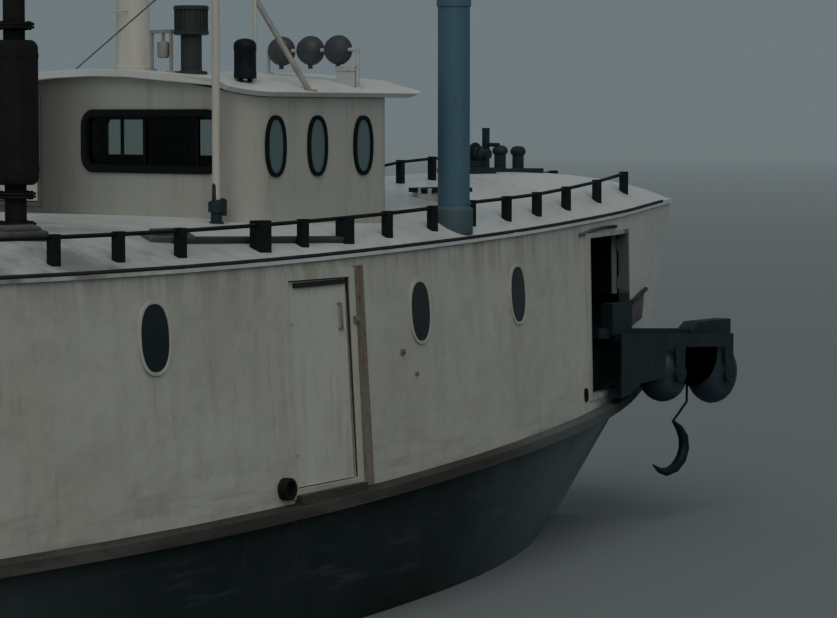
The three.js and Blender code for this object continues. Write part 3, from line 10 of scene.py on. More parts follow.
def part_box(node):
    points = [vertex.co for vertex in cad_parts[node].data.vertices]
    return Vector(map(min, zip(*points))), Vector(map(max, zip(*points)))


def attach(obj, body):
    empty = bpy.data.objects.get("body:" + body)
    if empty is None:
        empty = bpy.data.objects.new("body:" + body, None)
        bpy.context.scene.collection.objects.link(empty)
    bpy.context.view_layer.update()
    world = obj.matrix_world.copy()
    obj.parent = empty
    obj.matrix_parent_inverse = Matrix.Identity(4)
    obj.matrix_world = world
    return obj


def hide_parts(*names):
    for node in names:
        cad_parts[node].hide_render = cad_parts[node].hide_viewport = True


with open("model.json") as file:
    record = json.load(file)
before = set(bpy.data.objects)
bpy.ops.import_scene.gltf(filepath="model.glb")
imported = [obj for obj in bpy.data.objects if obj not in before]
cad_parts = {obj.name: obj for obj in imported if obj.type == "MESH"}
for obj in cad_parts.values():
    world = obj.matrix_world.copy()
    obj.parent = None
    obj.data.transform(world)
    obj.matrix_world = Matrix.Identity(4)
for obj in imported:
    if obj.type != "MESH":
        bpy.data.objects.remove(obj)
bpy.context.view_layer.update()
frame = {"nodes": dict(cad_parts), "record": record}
nodes = frame["nodes"]

# Camera, floor and light

camera = {"place": (-15.05, -16.35, 4.08), "heading": (0.777, 0.629), "pitch": 4.03, "lens": 116.1}


def makeCamera():
    data = bpy.data.cameras.new("view")
    data.lens = camera["lens"]
    data.sensor_width = 36
    data.clip_end = 900
    eye = bpy.data.objects.new("view", data)
    bpy.context.scene.collection.objects.link(eye)
    pitch = math.radians(camera["pitch"])
    along = Vector(camera["heading"]).normalized() * math.cos(pitch)
    look = Vector((along.x, along.y, -math.sin(pitch)))
    eye.location = camera["place"]
    eye.rotation_euler = look.to_track_quat("-Z", "Y").to_euler()
    bpy.context.scene.camera = eye


studio = {
    "sky": (0.565, 0.70, 0.755), "skyStrength": 0.27,
    "sun": 0.80, "sunColour": (1.0, 0.93, 0.85), "sunAngle": 70, "sunTurn": (42, -14, -31),
    "floorRadius": 420, "floorColour": (0.25, 0.27, 0.28), "floorFar": (0.45, 0.505, 0.525),
    "fade": (25, 260),
}


def makeStudio():
    world = bpy.data.worlds.new("sky")
    bpy.context.scene.world = world
    world.use_nodes = True
    background = world.node_tree.nodes["Background"]
    background.inputs["Color"].default_value = (*studio["sky"], 1)
    background.inputs["Strength"].default_value = studio["skyStrength"]
    data = bpy.data.lights.new("overcast", "SUN")
    data.energy = studio["sun"]
    data.color = studio["sunColour"]
    data.angle = math.radians(studio["sunAngle"])
    lamp = bpy.data.objects.new("overcast", data)
    lamp.rotation_euler = [math.radians(a) for a in studio["sunTurn"]]
    bpy.context.scene.collection.objects.link(lamp)
    bm = bmesh.new()
    bmesh.ops.create_circle(bm, cap_ends=True, segments=64, radius=studio["floorRadius"])
    floor = makeMeshObject("floor", bm)
    floor.data.materials.append(makeFloorPaint())


# Small tools

def makeMeshObject(name, bm):
    mesh = bpy.data.meshes.new(name)
    bm.to_mesh(mesh)
    bm.free()
    thing = bpy.data.objects.new(name, mesh)
    bpy.context.scene.collection.objects.link(thing)
    return thing


def smoothByAngle(bm, degrees):
    limit = math.radians(degrees)
    for face in bm.faces:
        face.smooth = True
    for edge in bm.edges:
        edge.smooth = len(edge.link_faces) == 2 and edge.calc_face_angle(0) < limit


def finishPiece(name, bm, material, body="boat", replaced=(), smooth=34, bevel=0, subdivide=0):
    bm.normal_update()
    smoothByAngle(bm, smooth)
    piece = makeMeshObject(name, bm)
    if isinstance(material, str):
        material = [material]
    for one in material:
        piece.data.materials.append(paints[one])
    if bevel:
        rounding = piece.modifiers.new("rounding", "BEVEL")
        rounding.width = bevel
        rounding.segments = 2
        rounding.limit_method = "ANGLE"
        rounding.angle_limit = math.radians(35)
        rounding.harden_normals = True
    if subdivide:
        finer = piece.modifiers.new("finer", "SUBSURF")
        finer.levels = subdivide
        finer.render_levels = subdivide
    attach(piece, body)
    if replaced:
        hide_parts(*replaced)
    return piece


def copyOfNode(name, merge=0.0002, flat=0.6):
    bm = bmesh.new()
    bm.from_mesh(nodes[name].data)
    bmesh.ops.remove_doubles(bm, verts=bm.verts, dist=merge)
    if flat:
        bmesh.ops.dissolve_limit(
            bm, angle_limit=math.radians(flat), verts=bm.verts, edges=bm.edges, delimit={"NORMAL"},
        )
    return bm


def surfaceOf(name):
    bm = bmesh.new()
    bm.from_mesh(nodes[name].data)
    tree = BVHTree.FromBMesh(bm)
    bm.free()
    return tree


def addBox(bm, low, high, matrix=None):
    low, high = Vector(low), Vector(high)
    made = bmesh.ops.create_cube(bm, size=1)["verts"]
    size = Matrix.Diagonal((*(high - low), 1))
    place = Matrix.Translation((low + high) / 2) @ size
    bmesh.ops.transform(bm, matrix=(matrix or Matrix.Identity(4)) @ place, verts=made)
    return made


def addRod(bm, start, end, radius, endRadius=None, sides=24):
    start, end = Vector(start), Vector(end)
    along = end - start
    turn = along.to_track_quat("Z", "Y").to_matrix().to_4x4()
    made = bmesh.ops.create_cone(
        bm, cap_ends=True, segments=sides, radius1=radius,
        radius2=radius if endRadius is None else endRadius, depth=along.length,
        matrix=Matrix.Translation((start + end) / 2) @ turn,
    )["verts"]
    return made


def addBall(bm, centre, radius, scale=(1, 1, 1), sides=24):
    made = bmesh.ops.create_uvsphere(bm, u_segments=sides, v_segments=sides // 2, radius=radius)["verts"]
    bmesh.ops.transform(bm, matrix=Matrix.Translation(centre) @ Matrix.Diagonal((*scale, 1)), verts=made)
    return made


# A turned shape: profile pairs are radius and height along the axis from the place
def addTurned(bm, profile, place, axis=(0, 0, 1), sides=40):
    verts = [bm.verts.new((radius, 0, height)) for radius, height in profile]
    edges = [bm.edges.new(pair) for pair in zip(verts, verts[1:])]
    bmesh.ops.spin(
        bm, geom=verts + edges, cent=(0, 0, 0), axis=(0, 0, 1), dvec=(0, 0, 0),
        angle=math.tau, steps=sides, use_merge=True,
    )
    ring = set(verts)
    front = list(verts)
    while front:
        vert = front.pop()
        for edge in vert.link_edges:
            other = edge.other_vert(vert)
            if other not in ring:
                ring.add(other)
                front.append(other)
    bmesh.ops.remove_doubles(bm, verts=list(ring), dist=0.00005)
    ring = [vert for vert in ring if vert.is_valid]
    faces = list({face for vert in ring for face in vert.link_faces})
    bmesh.ops.recalc_face_normals(bm, faces=faces)
    turn = Vector(axis).to_track_quat("Z", "Y").to_matrix().to_4x4()
    bmesh.ops.transform(bm, matrix=Matrix.Translation(place) @ turn, verts=ring)
    return ring


# A pipe along points, as a mesh
def addPipe(bm, points, radius, closed=False, sides=4, kind="POLY"):
    data = bpy.data.curves.new("path", "CURVE")
    data.dimensions = "3D"
    data.bevel_depth = radius
    data.bevel_resolution = sides
    data.use_fill_caps = True
    spline = data.splines.new(kind)
    spline.points.add(len(points) - 1)
    for spot, point in zip(spline.points, points):
        spot.co = (*point, 1)
    if kind == "NURBS":
        spline.order_u = 3
        spline.use_endpoint_u = True
        spline.resolution_u = 6
    spline.use_cyclic_u = closed
    holder = bpy.data.objects.new("path", data)
    bpy.context.scene.collection.objects.link(holder)
    bpy.context.view_layer.update()
    mesh = bpy.data.meshes.new_from_object(holder.evaluated_get(bpy.context.evaluated_depsgraph_get()))
    before = len(bm.verts)
    bm.from_mesh(mesh)
    bpy.data.objects.remove(holder)
    bpy.data.meshes.remove(mesh)
    bm.verts.ensure_lookup_table()
    return list(bm.verts)[before:]


def basis(origin, u, v):
    u = Vector(u).normalized()
    w = u.cross(Vector(v)).normalized()
    v = w.cross(u)
    turn = Matrix((u, v, w)).transposed().to_4x4()
    return Matrix.Translation(origin) @ turn


# Materials

def addNode(tree, kind, inputs=None, **settings):
    node = tree.nodes.new(kind)
    for key, value in settings.items():
        setattr(node, key, value)
    for key, value in (inputs or {}).items():
        if isinstance(value, bpy.types.NodeSocket):
            tree.links.new(value, node.inputs[key])
        else:
            node.inputs[key].default_value = value
    return node


def newMaterial(name):
    material = bpy.data.materials.new(name)
    material.use_nodes = True
    tree = material.node_tree
    shader = tree.nodes["Principled BSDF"]
    where = addNode(tree, "ShaderNodeTexCoord").outputs["Object"]
    return material, tree, shader, where


# The floor pales with its distance from the boat
def makeFloorPaint():
    material, tree, shader, where = newMaterial("floorPaint")
    away = addNode(tree, "ShaderNodeVectorMath", {0: where}, operation="LENGTH").outputs["Value"]
    near, far = studio["fade"]
    share = addNode(tree, "ShaderNodeMapRange", {"Value": away, "From Min": near, "From Max": far}).outputs[0]
    colour = mixColour(tree, share, studio["floorColour"], studio["floorFar"])
    tree.links.new(colour, shader.inputs["Base Color"])
    shader.inputs["Roughness"].default_value = 0.9
    return material


# Mask of noise, from low to high, in a stretched space
def noiseMask(tree, where, stretch, scale, low, high, detail=6, shift=0.0):
    moved = addNode(
        tree, "ShaderNodeMapping", {"Vector": where, "Scale": stretch, "Location": (shift, shift, shift)},
    )
    noise = addNode(
        tree, "ShaderNodeTexNoise",
        {"Vector": moved.outputs[0], "Scale": scale, "Detail": detail, "Roughness": 0.6},
    )
    ramp = addNode(
        tree, "ShaderNodeMapRange", {"Value": noise.outputs[0], "From Min": low, "From Max": high},
        interpolation_type="SMOOTHSTEP",
    )
    return ramp.outputs[0]


def mixColour(tree, mask, under, over):
    mix = addNode(tree, "ShaderNodeMix", {0: mask}, data_type="RGBA")
    for place, value in ((6, under), (7, over)):
        if isinstance(value, bpy.types.NodeSocket):
            tree.links.new(value, mix.inputs[place])
        else:
            mix.inputs[place].default_value = (*value, 1)
    return mix.outputs[2]


def calculate(tree, operation, first, second=0.0):
    node = addNode(tree, "ShaderNodeMath", {0: first, 1: second}, operation=operation, use_clamp=True)
    return node.outputs[0]


# Share from 0 at low to 1 at high along one axis
def axisRamp(tree, where, axis, low, high):
    parts = addNode(tree, "ShaderNodeSeparateXYZ", {"Vector": where})
    return addNode(
        tree, "ShaderNodeMapRange", {"Value": parts.outputs[axis], "From Min": low, "From Max": high},
        interpolation_type="SMOOTHSTEP",
    ).outputs[0]


# Weathered paint. Each layer is (stretch, scale, low, high, strength, colour)
def weatheredPaint(name, base, roughness, bumps, specular, metallic, layers):
    material, tree, shader, where = newMaterial(name)
    colour = base
    for i, layer in enumerate(layers):
        stretch, scale, low, high, strength, tint = layer[:6]
        mask = noiseMask(tree, where, stretch, scale, low, high, shift=3.7 * (i + 1))
        mask = calculate(tree, "MULTIPLY", mask, strength)
        for axis, start, end in layer[6:]:
            mask = calculate(tree, "MULTIPLY", mask, axisRamp(tree, where, axis, start, end))
        colour = mixColour(tree, mask, colour, tint)
    if isinstance(colour, bpy.types.NodeSocket):
        tree.links.new(colour, shader.inputs["Base Color"])
    rough = noiseMask(tree, where, (1, 1, 0.5), 3.0, 0.3, 0.7, shift=11)
    rough = addNode(
        tree, "ShaderNodeMapRange", {"Value": rough, "To Min": roughness[0], "To Max": roughness[1]},
    ).outputs[0]
    tree.links.new(rough, shader.inputs["Roughness"])
    shader.inputs["Metallic"].default_value = metallic
    shader.inputs["Specular IOR Level"].default_value = specular
    normal = None
    for stretch, scale, strength, distance in bumps:
        height = noiseMask(tree, where, stretch, scale, 0.2, 0.8, detail=4, shift=5)
        bump = addNode(
            tree, "ShaderNodeBump", {"Height": height, "Strength": strength, "Distance": distance},
        )
        if normal:
            tree.links.new(normal, bump.inputs["Normal"])
        normal = bump.outputs[0]
    if normal:
        tree.links.new(normal, shader.inputs["Normal"])
    return material


def makeGlass(name, colour, roughness=0.05, haze=0.22, transmission=0.0, bending=1.48):
    material, tree, shader, where = newMaterial(name)
    shader.inputs["Base Color"].default_value = (*colour, 1)
    shader.inputs["Transmission Weight"].default_value = transmission
    shader.inputs["IOR"].default_value = bending
    salt = noiseMask(tree, where, (1, 1, 0.4), 9.0, 0.35, 0.75)
    rough = addNode(
        tree, "ShaderNodeMapRange", {"Value": salt, "To Min": roughness, "To Max": roughness + haze},
    ).outputs[0]
    tree.links.new(rough, shader.inputs["Roughness"])
    return material


even = (1, 1, 1)
runs = (1, 1, 0.07)  # long down the wall
scrapes = (0.12, 0.12, 1)  # long fore and aft
rustTint = (0.17, 0.075, 0.035)
# Soot colour, which on the wheelhouse walls is also painted shade
sootAndShadeTint = (0.05, 0.045, 0.04)
plateWaves = ((0.9, 0.9, 0.9), 1.1, 0.35, 0.05)
hullSkin = (plateWaves, (even, 60, 0.12, 0.002))
rustSkin = ((even, 42, 0.5, 0.006), (even, 160, 0.3, 0.002))
paintSkin = (even, 60, 0.12, 0.002)


# The fine bumps of one coat
def grain(scale, strength, distance):
    return ((even, scale, strength, distance),)


# Layers on the topsides: stretch, scale, low, high, strength, colour, and a share along an axis. Mottling,
# runs, rust, scrapes low on the wall, darker runs toward the top, a lighter tone toward the bow, and a
# near-black patch low on the bow below the doorway, which is painted shade
topsideLayers = [
    (even, 0.6, 0.40, 0.66, 0.55, (0.46, 0.445, 0.385)),
    (runs, 5.5, 0.47, 0.72, 0.25, (0.36, 0.33, 0.265)),
    (even, 4.0, 0.48, 0.72, 0.40, (0.42, 0.40, 0.345)),
    (runs, 16, 0.60, 0.76, 0.30, (0.27, 0.195, 0.125)),
    (even, 30, 0.675, 0.73, 0.50, rustTint),
    (scrapes, 9, 0.46, 0.66, 0.38, (0.26, 0.235, 0.19), (2, 1.75, 1.15)),
    (runs, 7, 0.42, 0.60, 0.50, (0.28, 0.24, 0.185), (2, 2.55, 3.1)),
    (even, 1.0, 0.0, 0.1, 0.75, (0.66, 0.665, 0.62), (0, 5.0, 7.6)),
    # Painted shade: near-black low on the bow, below the doorway and behind the rollers
    (even, 2.6, 0.15, 0.50, 0.92, (0.035, 0.036, 0.035), (0, 6.0, 6.6), (2, 1.75, 1.35)),
]
houseLayers = [
    (even, 0.8, 0.42, 0.68, 0.45, (0.40, 0.40, 0.355)),
    (runs, 6, 0.50, 0.74, 0.40, (0.31, 0.29, 0.24)),
    (runs, 18, 0.60, 0.75, 0.45, (0.28, 0.21, 0.14)),
    (even, 34, 0.67, 0.73, 0.55, rustTint),
    # Soot and painted shade: darker toward port across the wheelhouse walls
    ((1, 1, 0.4), 1.5, 0.10, 0.50, 0.80, sootAndShadeTint, (1, -0.45, 0.75)),
]

paintTable = {
    # base colour, roughness, bumps, specular, metallic, layers
    "topsidePaint": ((0.56, 0.555, 0.495), (0.46, 0.70), hullSkin, 0.5, 0.0, topsideLayers),
    "doorPaint": ((0.60, 0.595, 0.54), (0.44, 0.66), hullSkin, 0.5, 0.0, [
        (even, 1.2, 0.42, 0.66, 0.45, (0.50, 0.49, 0.43)),
        (runs, 9, 0.50, 0.72, 0.45, (0.38, 0.335, 0.26)),
        (even, 26, 0.65, 0.72, 0.55, rustTint),
    ]),
    "housePaint": ((0.475, 0.475, 0.425), (0.44, 0.66), hullSkin, 0.5, 0.0, houseLayers),
    # The walls' white made much lighter: painted light on the sky-lit roof top
    "roofPaint": ((0.80, 0.81, 0.78), (0.34, 0.55), (paintSkin,), 0.7, 0.0, [
        (even, 1.4, 0.40, 0.70, 0.40, (0.66, 0.66, 0.61)),
        (even, 8, 0.54, 0.72, 0.30, (0.45, 0.42, 0.36)),
        (even, 36, 0.67, 0.73, 0.45, rustTint),
    ]),
    "bowFramePaint": ((0.46, 0.465, 0.425), (0.5, 0.75), (paintSkin,), 0.5, 0.0, [
        (runs, 9, 0.45, 0.70, 0.60, (0.25, 0.22, 0.175)),
        (even, 30, 0.62, 0.72, 0.60, rustTint),
        # Painted shade: near-black on the frame's lower forward part, below the doorway
        (even, 2.6, 0.05, 0.35, 0.95, (0.030, 0.033, 0.036), (0, 6.3, 6.7), (2, 2.50, 2.30)),
        # Painted light: a grey patch on the forward upper part, standing in for the dimly lit inside of the
        # bow seen through the doorway
        (even, 1.5, 0.02, 0.20, 0.97, (0.150, 0.165, 0.170), (0, 7.30, 7.38), (2, 2.30, 2.38)),
    ]),
    "bowLeafPaint": ((0.20, 0.225, 0.235), (0.5, 0.75), (paintSkin,), 0.5, 0.0, [
        (even, 4, 0.42, 0.68, 0.50, (0.15, 0.165, 0.17)),
        (even, 24, 0.60, 0.72, 0.50, (0.12, 0.09, 0.07)),
    ]),
    "insidePaint": ((0.30, 0.325, 0.355), (0.6, 0.85), (paintSkin,), 0.5, 0.0, [
        (even, 2.0, 0.40, 0.68, 0.50, (0.22, 0.235, 0.25)),
        (even, 14, 0.55, 0.70, 0.50, (0.06, 0.035, 0.022)),
    ]),
    "hullPaint": ((0.020, 0.031, 0.033), (0.55, 0.78), hullSkin, 0.25, 0.0, [
        (even, 1.1, 0.40, 0.68, 0.60, (0.034, 0.046, 0.049)),
        (runs, 7, 0.52, 0.74, 0.40, (0.055, 0.060, 0.056)),
        (even, 18, 0.65, 0.73, 0.40, (0.080, 0.052, 0.035)),
        (scrapes, 8, 0.54, 0.72, 0.50, (0.085, 0.100, 0.098)),
        (even, 9, 0.30, 0.62, 0.75, (0.022, 0.037, 0.025), (2, 0.28, -0.1)),
        # Painted light: lighter toward the bow and toward the stern, standing in for light thrown up from the
        # water onto the down-facing hull
        (runs, 2.4, 0.10, 0.45, 0.80, (0.25, 0.32, 0.34), (0, 2.4, 7.4)),
        (even, 1.6, 0.15, 0.50, 0.75, (0.110, 0.130, 0.140), (0, -0.2, -5.0)),
    ]),
    "guardPaint": ((0.072, 0.068, 0.062), (0.6, 0.85), ((scrapes, 30, 0.3, 0.006), paintSkin), 0.3, 0.1, [
        (scrapes, 6, 0.42, 0.66, 0.60, (0.165, 0.158, 0.142)),
        (even, 12, 0.54, 0.70, 0.50, (0.095, 0.052, 0.030)),
        (even, 40, 0.60, 0.70, 0.50, (0.036, 0.033, 0.029)),
        # Lighter from X 3.2 forward; then near-black from X 5.9 to 7.0 onward, below the bow doorway, which
        # is painted shade
        (even, 3, 0.10, 0.40, 0.85, (0.150, 0.168, 0.162), (0, 3.2, 5.2)),
        (even, 3, 0.10, 0.40, 0.90, (0.030, 0.034, 0.034), (0, 5.9, 7.0)),
    ]),
    "deckPaint": ((0.74, 0.77, 0.76), (0.28, 0.50), grain(140, 0.25, 0.002), 0.8, 0.0, [
        (even, 0.9, 0.40, 0.68, 0.55, (0.62, 0.63, 0.60)),
        (even, 6, 0.50, 0.72, 0.40, (0.46, 0.43, 0.37)),
        (even, 28, 0.65, 0.72, 0.55, (0.22, 0.12, 0.07)),
        (even, 1.6, 0.35, 0.65, 0.75, (0.13, 0.115, 0.10), (0, 0.8, -2.2)),
    ]),
    "blackPaint": ((0.022, 0.038, 0.046), (0.5, 0.75), grain(90, 0.2, 0.002), 0.4, 0.0, [
        (even, 14, 0.50, 0.70, 0.60, (0.046, 0.064, 0.070)),
        (even, 40, 0.63, 0.72, 0.55, (0.07, 0.036, 0.021)),
    ]),
    "tankPaint": ((0.008, 0.014, 0.017), (0.5, 0.75), grain(90, 0.2, 0.002), 0.3, 0.0, [
        (even, 20, 0.5, 0.7, 0.5, (0.022, 0.026, 0.027)),
    ]),
    "rollerPaint": ((0.028, 0.047, 0.056), (0.5, 0.75), grain(80, 0.25, 0.002), 0.3, 0.0, [
        (even, 9, 0.45, 0.70, 0.60, (0.050, 0.072, 0.078)),
        # Painted highlight: a pale patch on the plates' upper aft corner
        (runs, 7, 0.45, 0.65, 0.65, (0.13, 0.165, 0.16), (0, 7.98, 7.88), (2, 1.60, 1.75)),
    ]),
    "railPaint": ((0.010, 0.015, 0.016), (0.5, 0.75), grain(90, 0.2, 0.002), 0.3, 0.0, [
        (even, 14, 0.50, 0.70, 0.55, (0.022, 0.028, 0.029)),
        (even, 40, 0.62, 0.72, 0.50, (0.06, 0.034, 0.022)),
    ]),
    # Near-black; on the door gaps it is painted shade, and on the door drips and deck edge bars it is partly
    # painted shade
    "edgePaint": ((0.034, 0.034, 0.033), (0.6, 0.85), grain(70, 0.25, 0.003), 0.3, 0.0, [
        (even, 8, 0.45, 0.70, 0.55, (0.060, 0.056, 0.050)),
        (even, 30, 0.60, 0.72, 0.50, (0.085, 0.048, 0.030)),
    ]),
    "pipePaint": ((0.055, 0.060, 0.066), (0.5, 0.75), grain(80, 0.25, 0.002), 0.5, 0.0, [
        (even, 9, 0.45, 0.70, 0.55, (0.090, 0.088, 0.085)),
    ]),
    "mastPaint": ((0.088, 0.172, 0.240), (0.40, 0.60), grain(70, 0.15, 0.002), 0.4, 0.0, [
        ((1, 1, 0.05), 12, 0.45, 0.70, 0.55, (0.110, 0.200, 0.270)),
        (even, 16, 0.60, 0.72, 0.45, (0.07, 0.075, 0.07)),
        (even, 3.0, 0.10, 0.40, 0.85, (0.072, 0.108, 0.108), (2, 3.33, 3.27)),
    ]),
    "creamPaint": ((0.62, 0.605, 0.53), (0.42, 0.65), (paintSkin,), 0.5, 0.0, [
        (runs, 10, 0.45, 0.70, 0.45, (0.48, 0.445, 0.36)),
        (even, 26, 0.62, 0.72, 0.55, (0.22, 0.12, 0.07)),
    ]),
    "rustySteel": ((0.021, 0.022, 0.023), (0.7, 0.92), rustSkin, 0.25, 0.1, [
        (even, 6, 0.42, 0.68, 0.55, (0.038, 0.029, 0.024)),
        (runs, 12, 0.45, 0.70, 0.60, (0.012, 0.012, 0.012)),
        (even, 34, 0.61, 0.72, 0.50, (0.070, 0.040, 0.027)),
    ]),
    "bareSteel": ((0.20, 0.20, 0.195), (0.35, 0.6), grain(120, 0.2, 0.001), 0.5, 0.75, [
        (even, 10, 0.45, 0.70, 0.55, (0.10, 0.09, 0.08)),
        (even, 34, 0.58, 0.70, 0.60, (0.16, 0.08, 0.045)),
    ]),
    "greyPaint": ((0.12, 0.125, 0.12), (0.5, 0.75), grain(80, 0.25, 0.002), 0.5, 0.0, [
        (even, 5, 0.42, 0.70, 0.50, (0.075, 0.07, 0.065)),
        (even, 30, 0.60, 0.72, 0.55, (0.15, 0.085, 0.055)),
    ]),
    "ventPaint": ((0.040, 0.054, 0.054), (0.5, 0.75), grain(80, 0.25, 0.002), 0.5, 0.0, [
        (even, 7, 0.44, 0.68, 0.60, (0.045, 0.055, 0.053)),
        (even, 30, 0.62, 0.72, 0.50, (0.085, 0.050, 0.032)),
    ]),
    "rollerRubber": ((0.032, 0.056, 0.073), (0.48, 0.76), grain(60, 0.35, 0.004), 0.4, 0.0, [
        (even, 5, 0.46, 0.70, 0.55, (0.052, 0.082, 0.098)),
        (even, 22, 0.61, 0.72, 0.45, (0.060, 0.075, 0.072)),
        # Painted highlight: pale on the drums' upper aft parts
        ((1, 1, 0.5), 9, 0.42, 0.60, 0.60, (0.15, 0.20, 0.19), (0, 8.45, 8.27), (2, 1.52, 1.66)),
    ]),
    "lampRubber": ((0.066, 0.071, 0.080), (0.4, 0.65), grain(80, 0.2, 0.002), 0.5, 0.0, [
        (even, 9, 0.45, 0.70, 0.55, (0.100, 0.104, 0.110)),
        (even, 30, 0.62, 0.72, 0.45, (0.11, 0.105, 0.095)),
    ]),
    "windowRubber": ((0.007, 0.008, 0.010), (0.55, 0.8), grain(120, 0.25, 0.001), 0.3, 0.0, [
        (even, 30, 0.55, 0.72, 0.5, (0.022, 0.022, 0.024)),
    ]),
    "screwBronze": ((0.30, 0.19, 0.075), (0.3, 0.6), grain(60, 0.25, 0.002), 0.5, 0.85, [
        (even, 8, 0.42, 0.70, 0.60, (0.13, 0.12, 0.06)),
        (even, 26, 0.58, 0.72, 0.50, (0.07, 0.11, 0.085)),
    ]),
    "wireSteel": ((0.30, 0.305, 0.30), (0.4, 0.65), (), 0.5, 0.6, [
        ((1, 1, 1), 50, 0.45, 0.7, 0.6, (0.07, 0.06, 0.05)),
    ]),
    "bracketWhite": ((0.56, 0.57, 0.55), (0.45, 0.7), (), 0.5, 0.0, [
        (even, 20, 0.5, 0.7, 0.5, (0.30, 0.29, 0.26)),
    ]),
    "postPaint": ((0.26, 0.23, 0.18), (0.5, 0.8), grain(70, 0.25, 0.003), 0.5, 0.0, [
        (runs, 9, 0.42, 0.68, 0.65, (0.15, 0.10, 0.065)),
        (even, 22, 0.52, 0.70, 0.65, (0.10, 0.045, 0.025)),
    ]),
    "strutPaint": ((0.36, 0.35, 0.32), (0.5, 0.8), grain(70, 0.25, 0.003), 0.5, 0.0, [
        (even, 8, 0.42, 0.68, 0.60, (0.24, 0.215, 0.19)),
        (even, 30, 0.58, 0.72, 0.60, (0.13, 0.06, 0.035)),
    ]),
    "chafePaint": ((0.15, 0.14, 0.15), (0.5, 0.75), grain(60, 0.25, 0.003), 0.5, 0.1, [
        (scrapes, 9, 0.44, 0.66, 0.60, (0.085, 0.075, 0.075)),
        (even, 18, 0.55, 0.70, 0.60, (0.12, 0.065, 0.04)),
    ]),
    "hookPaint": ((0.006, 0.022, 0.020), (0.45, 0.7), grain(80, 0.2, 0.002), 0.3, 0.0, [
        (even, 18, 0.5, 0.70, 0.60, (0.015, 0.038, 0.033)),
        (even, 40, 0.63, 0.72, 0.45, (0.05, 0.032, 0.022)),
    ]),
}
glassTable = {
    # colour, roughness, haze, transmission, bending of light
    "portGlass": ((0.008, 0.019, 0.021), 0.12),
    "housePortGlass": ((0.13, 0.195, 0.195), 0.10),
    "windowGlass": ((0.62, 0.645, 0.62), 0.0, 0.05, 1.0, 1.22),
}
paints = {name: weatheredPaint(name, *row) for name, row in paintTable.items()}
paints.update({name: makeGlass(name, *row) for name, row in glassTable.items()})

recordBodies = frame["record"]["behaviour"]["bodies"]
bodyOfNode = {node: body for body, names in recordBodies.items() for node in names}


# Faces that look into the boat, by the way that is outward on each shell
outward = {
    "side_starboard": (0, -1, 0), "side_port": (0, 1, 0), "stern_wall": (-1, 0, 0),
    "turtleback_deck": (0, 0, 1), "wheelhouse_aft_wall": (-1, 0, 0), "wheelhouse_front_wall": (1, 0, 0),
    "wheelhouse_side_starboard": (0, -1, 0), "wheelhouse_side_port": (0, 1, 0),
}


# The roof's underside drawn in at its rim, which leaves a thin edge
def thinRim(bm):
    low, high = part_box("wheelhouse_roof")
    draw = {"x": 0.055, "y": 0.070}
    bm.normal_update()
    for vert in bm.verts:
        rim = [edge for edge in vert.link_edges if abs(edge.verts[0].co.z - edge.verts[1].co.z) > 0.05]
        under = any(edge.other_vert(vert).co.z > vert.co.z + 0.05 for edge in rim)
        if not under:
            continue
        vert.co.z += 0.022
        if abs(vert.co.y) > high.y - 0.30:
            vert.co.y -= math.copysign(draw["y"], vert.co.y)
        if vert.co.x < low.x + 0.30:
            vert.co.x += draw["x"]
        if vert.co.x > high.x - 0.30:
            vert.co.x -= draw["x"]


# A node's shape again, merged, with smooth curves and eased edges
def remake(name, material, smooth=34, bevel=0, flat=0.4, weighted=True):
    bm = copyOfNode(name, flat=flat)
    materials = [material]
    if name in outward:
        materials.append("insidePaint")
        out = Vector(outward[name])
        bm.normal_update()
        for face in bm.faces:
            face.material_index = 1 if face.normal.dot(out) < -0.3 else 0
    if name == "wheelhouse_roof":
        thinRim(bm)
    piece = finishPiece(
        f"{name}_shape", bm, materials,
        body=bodyOfNode[name], replaced=(name,), smooth=smooth, bevel=bevel,
    )
    if weighted and not bevel:
        keeper = piece.modifiers.new("even_shade", "WEIGHTED_NORMAL")
        keeper.weight = 90
        keeper.keep_sharp = True
    return piece


deckSkin = surfaceOf("turtleback_deck")
roofSkin = surfaceOf("wheelhouse_roof")
wallSkins = {-1: surfaceOf("side_starboard"), 1: surfaceOf("side_port")}


def topAt(skin, x, y):
    return skin.ray_cast(Vector((x, y, 20)), Vector((0, 0, -1)))[0].z


# A place on the topsides: u forward to starboard and aft to port, v up, w outward
def wallPlace(hand, x, z, reach=(0.30, 0.42)):
    corners = []
    for i, j in ((-1, -1), (1, -1), (1, 1), (-1, 1)):
        start = Vector((x - hand * i * reach[0], hand * 9, z + j * reach[1]))
        corners.append(wallSkins[hand].ray_cast(start, Vector((0, -hand, 0)))[0])
    middle = sum(corners, Vector()) / 4
    u = corners[1] + corners[2] - corners[0] - corners[3]
    v = corners[2] + corners[3] - corners[0] - corners[1]
    return basis(middle, u, v)


# A flat ring with a rounded or oval outline, standing between two lifts
def addRing(bm, outline, width, low, high):
    ring = bmesh.ops.inset_region(
        bm, faces=[outline], thickness=width, use_even_offset=True, use_boundary=True,
    )["faces"]
    bmesh.ops.delete(bm, geom=[outline], context="FACES_ONLY")
    base = list({vert for face in ring for vert in face.verts})
    raised = bmesh.ops.extrude_face_region(bm, geom=ring)["geom"]
    raised = [item for item in raised if isinstance(item, bmesh.types.BMVert)]
    bmesh.ops.translate(bm, vec=(0, 0, low), verts=base)
    bmesh.ops.translate(bm, vec=(0, 0, high), verts=raised)
    verts = base + raised
    faces = list({face for vert in verts for face in vert.link_faces})
    bmesh.ops.recalc_face_normals(bm, faces=faces)
    return verts


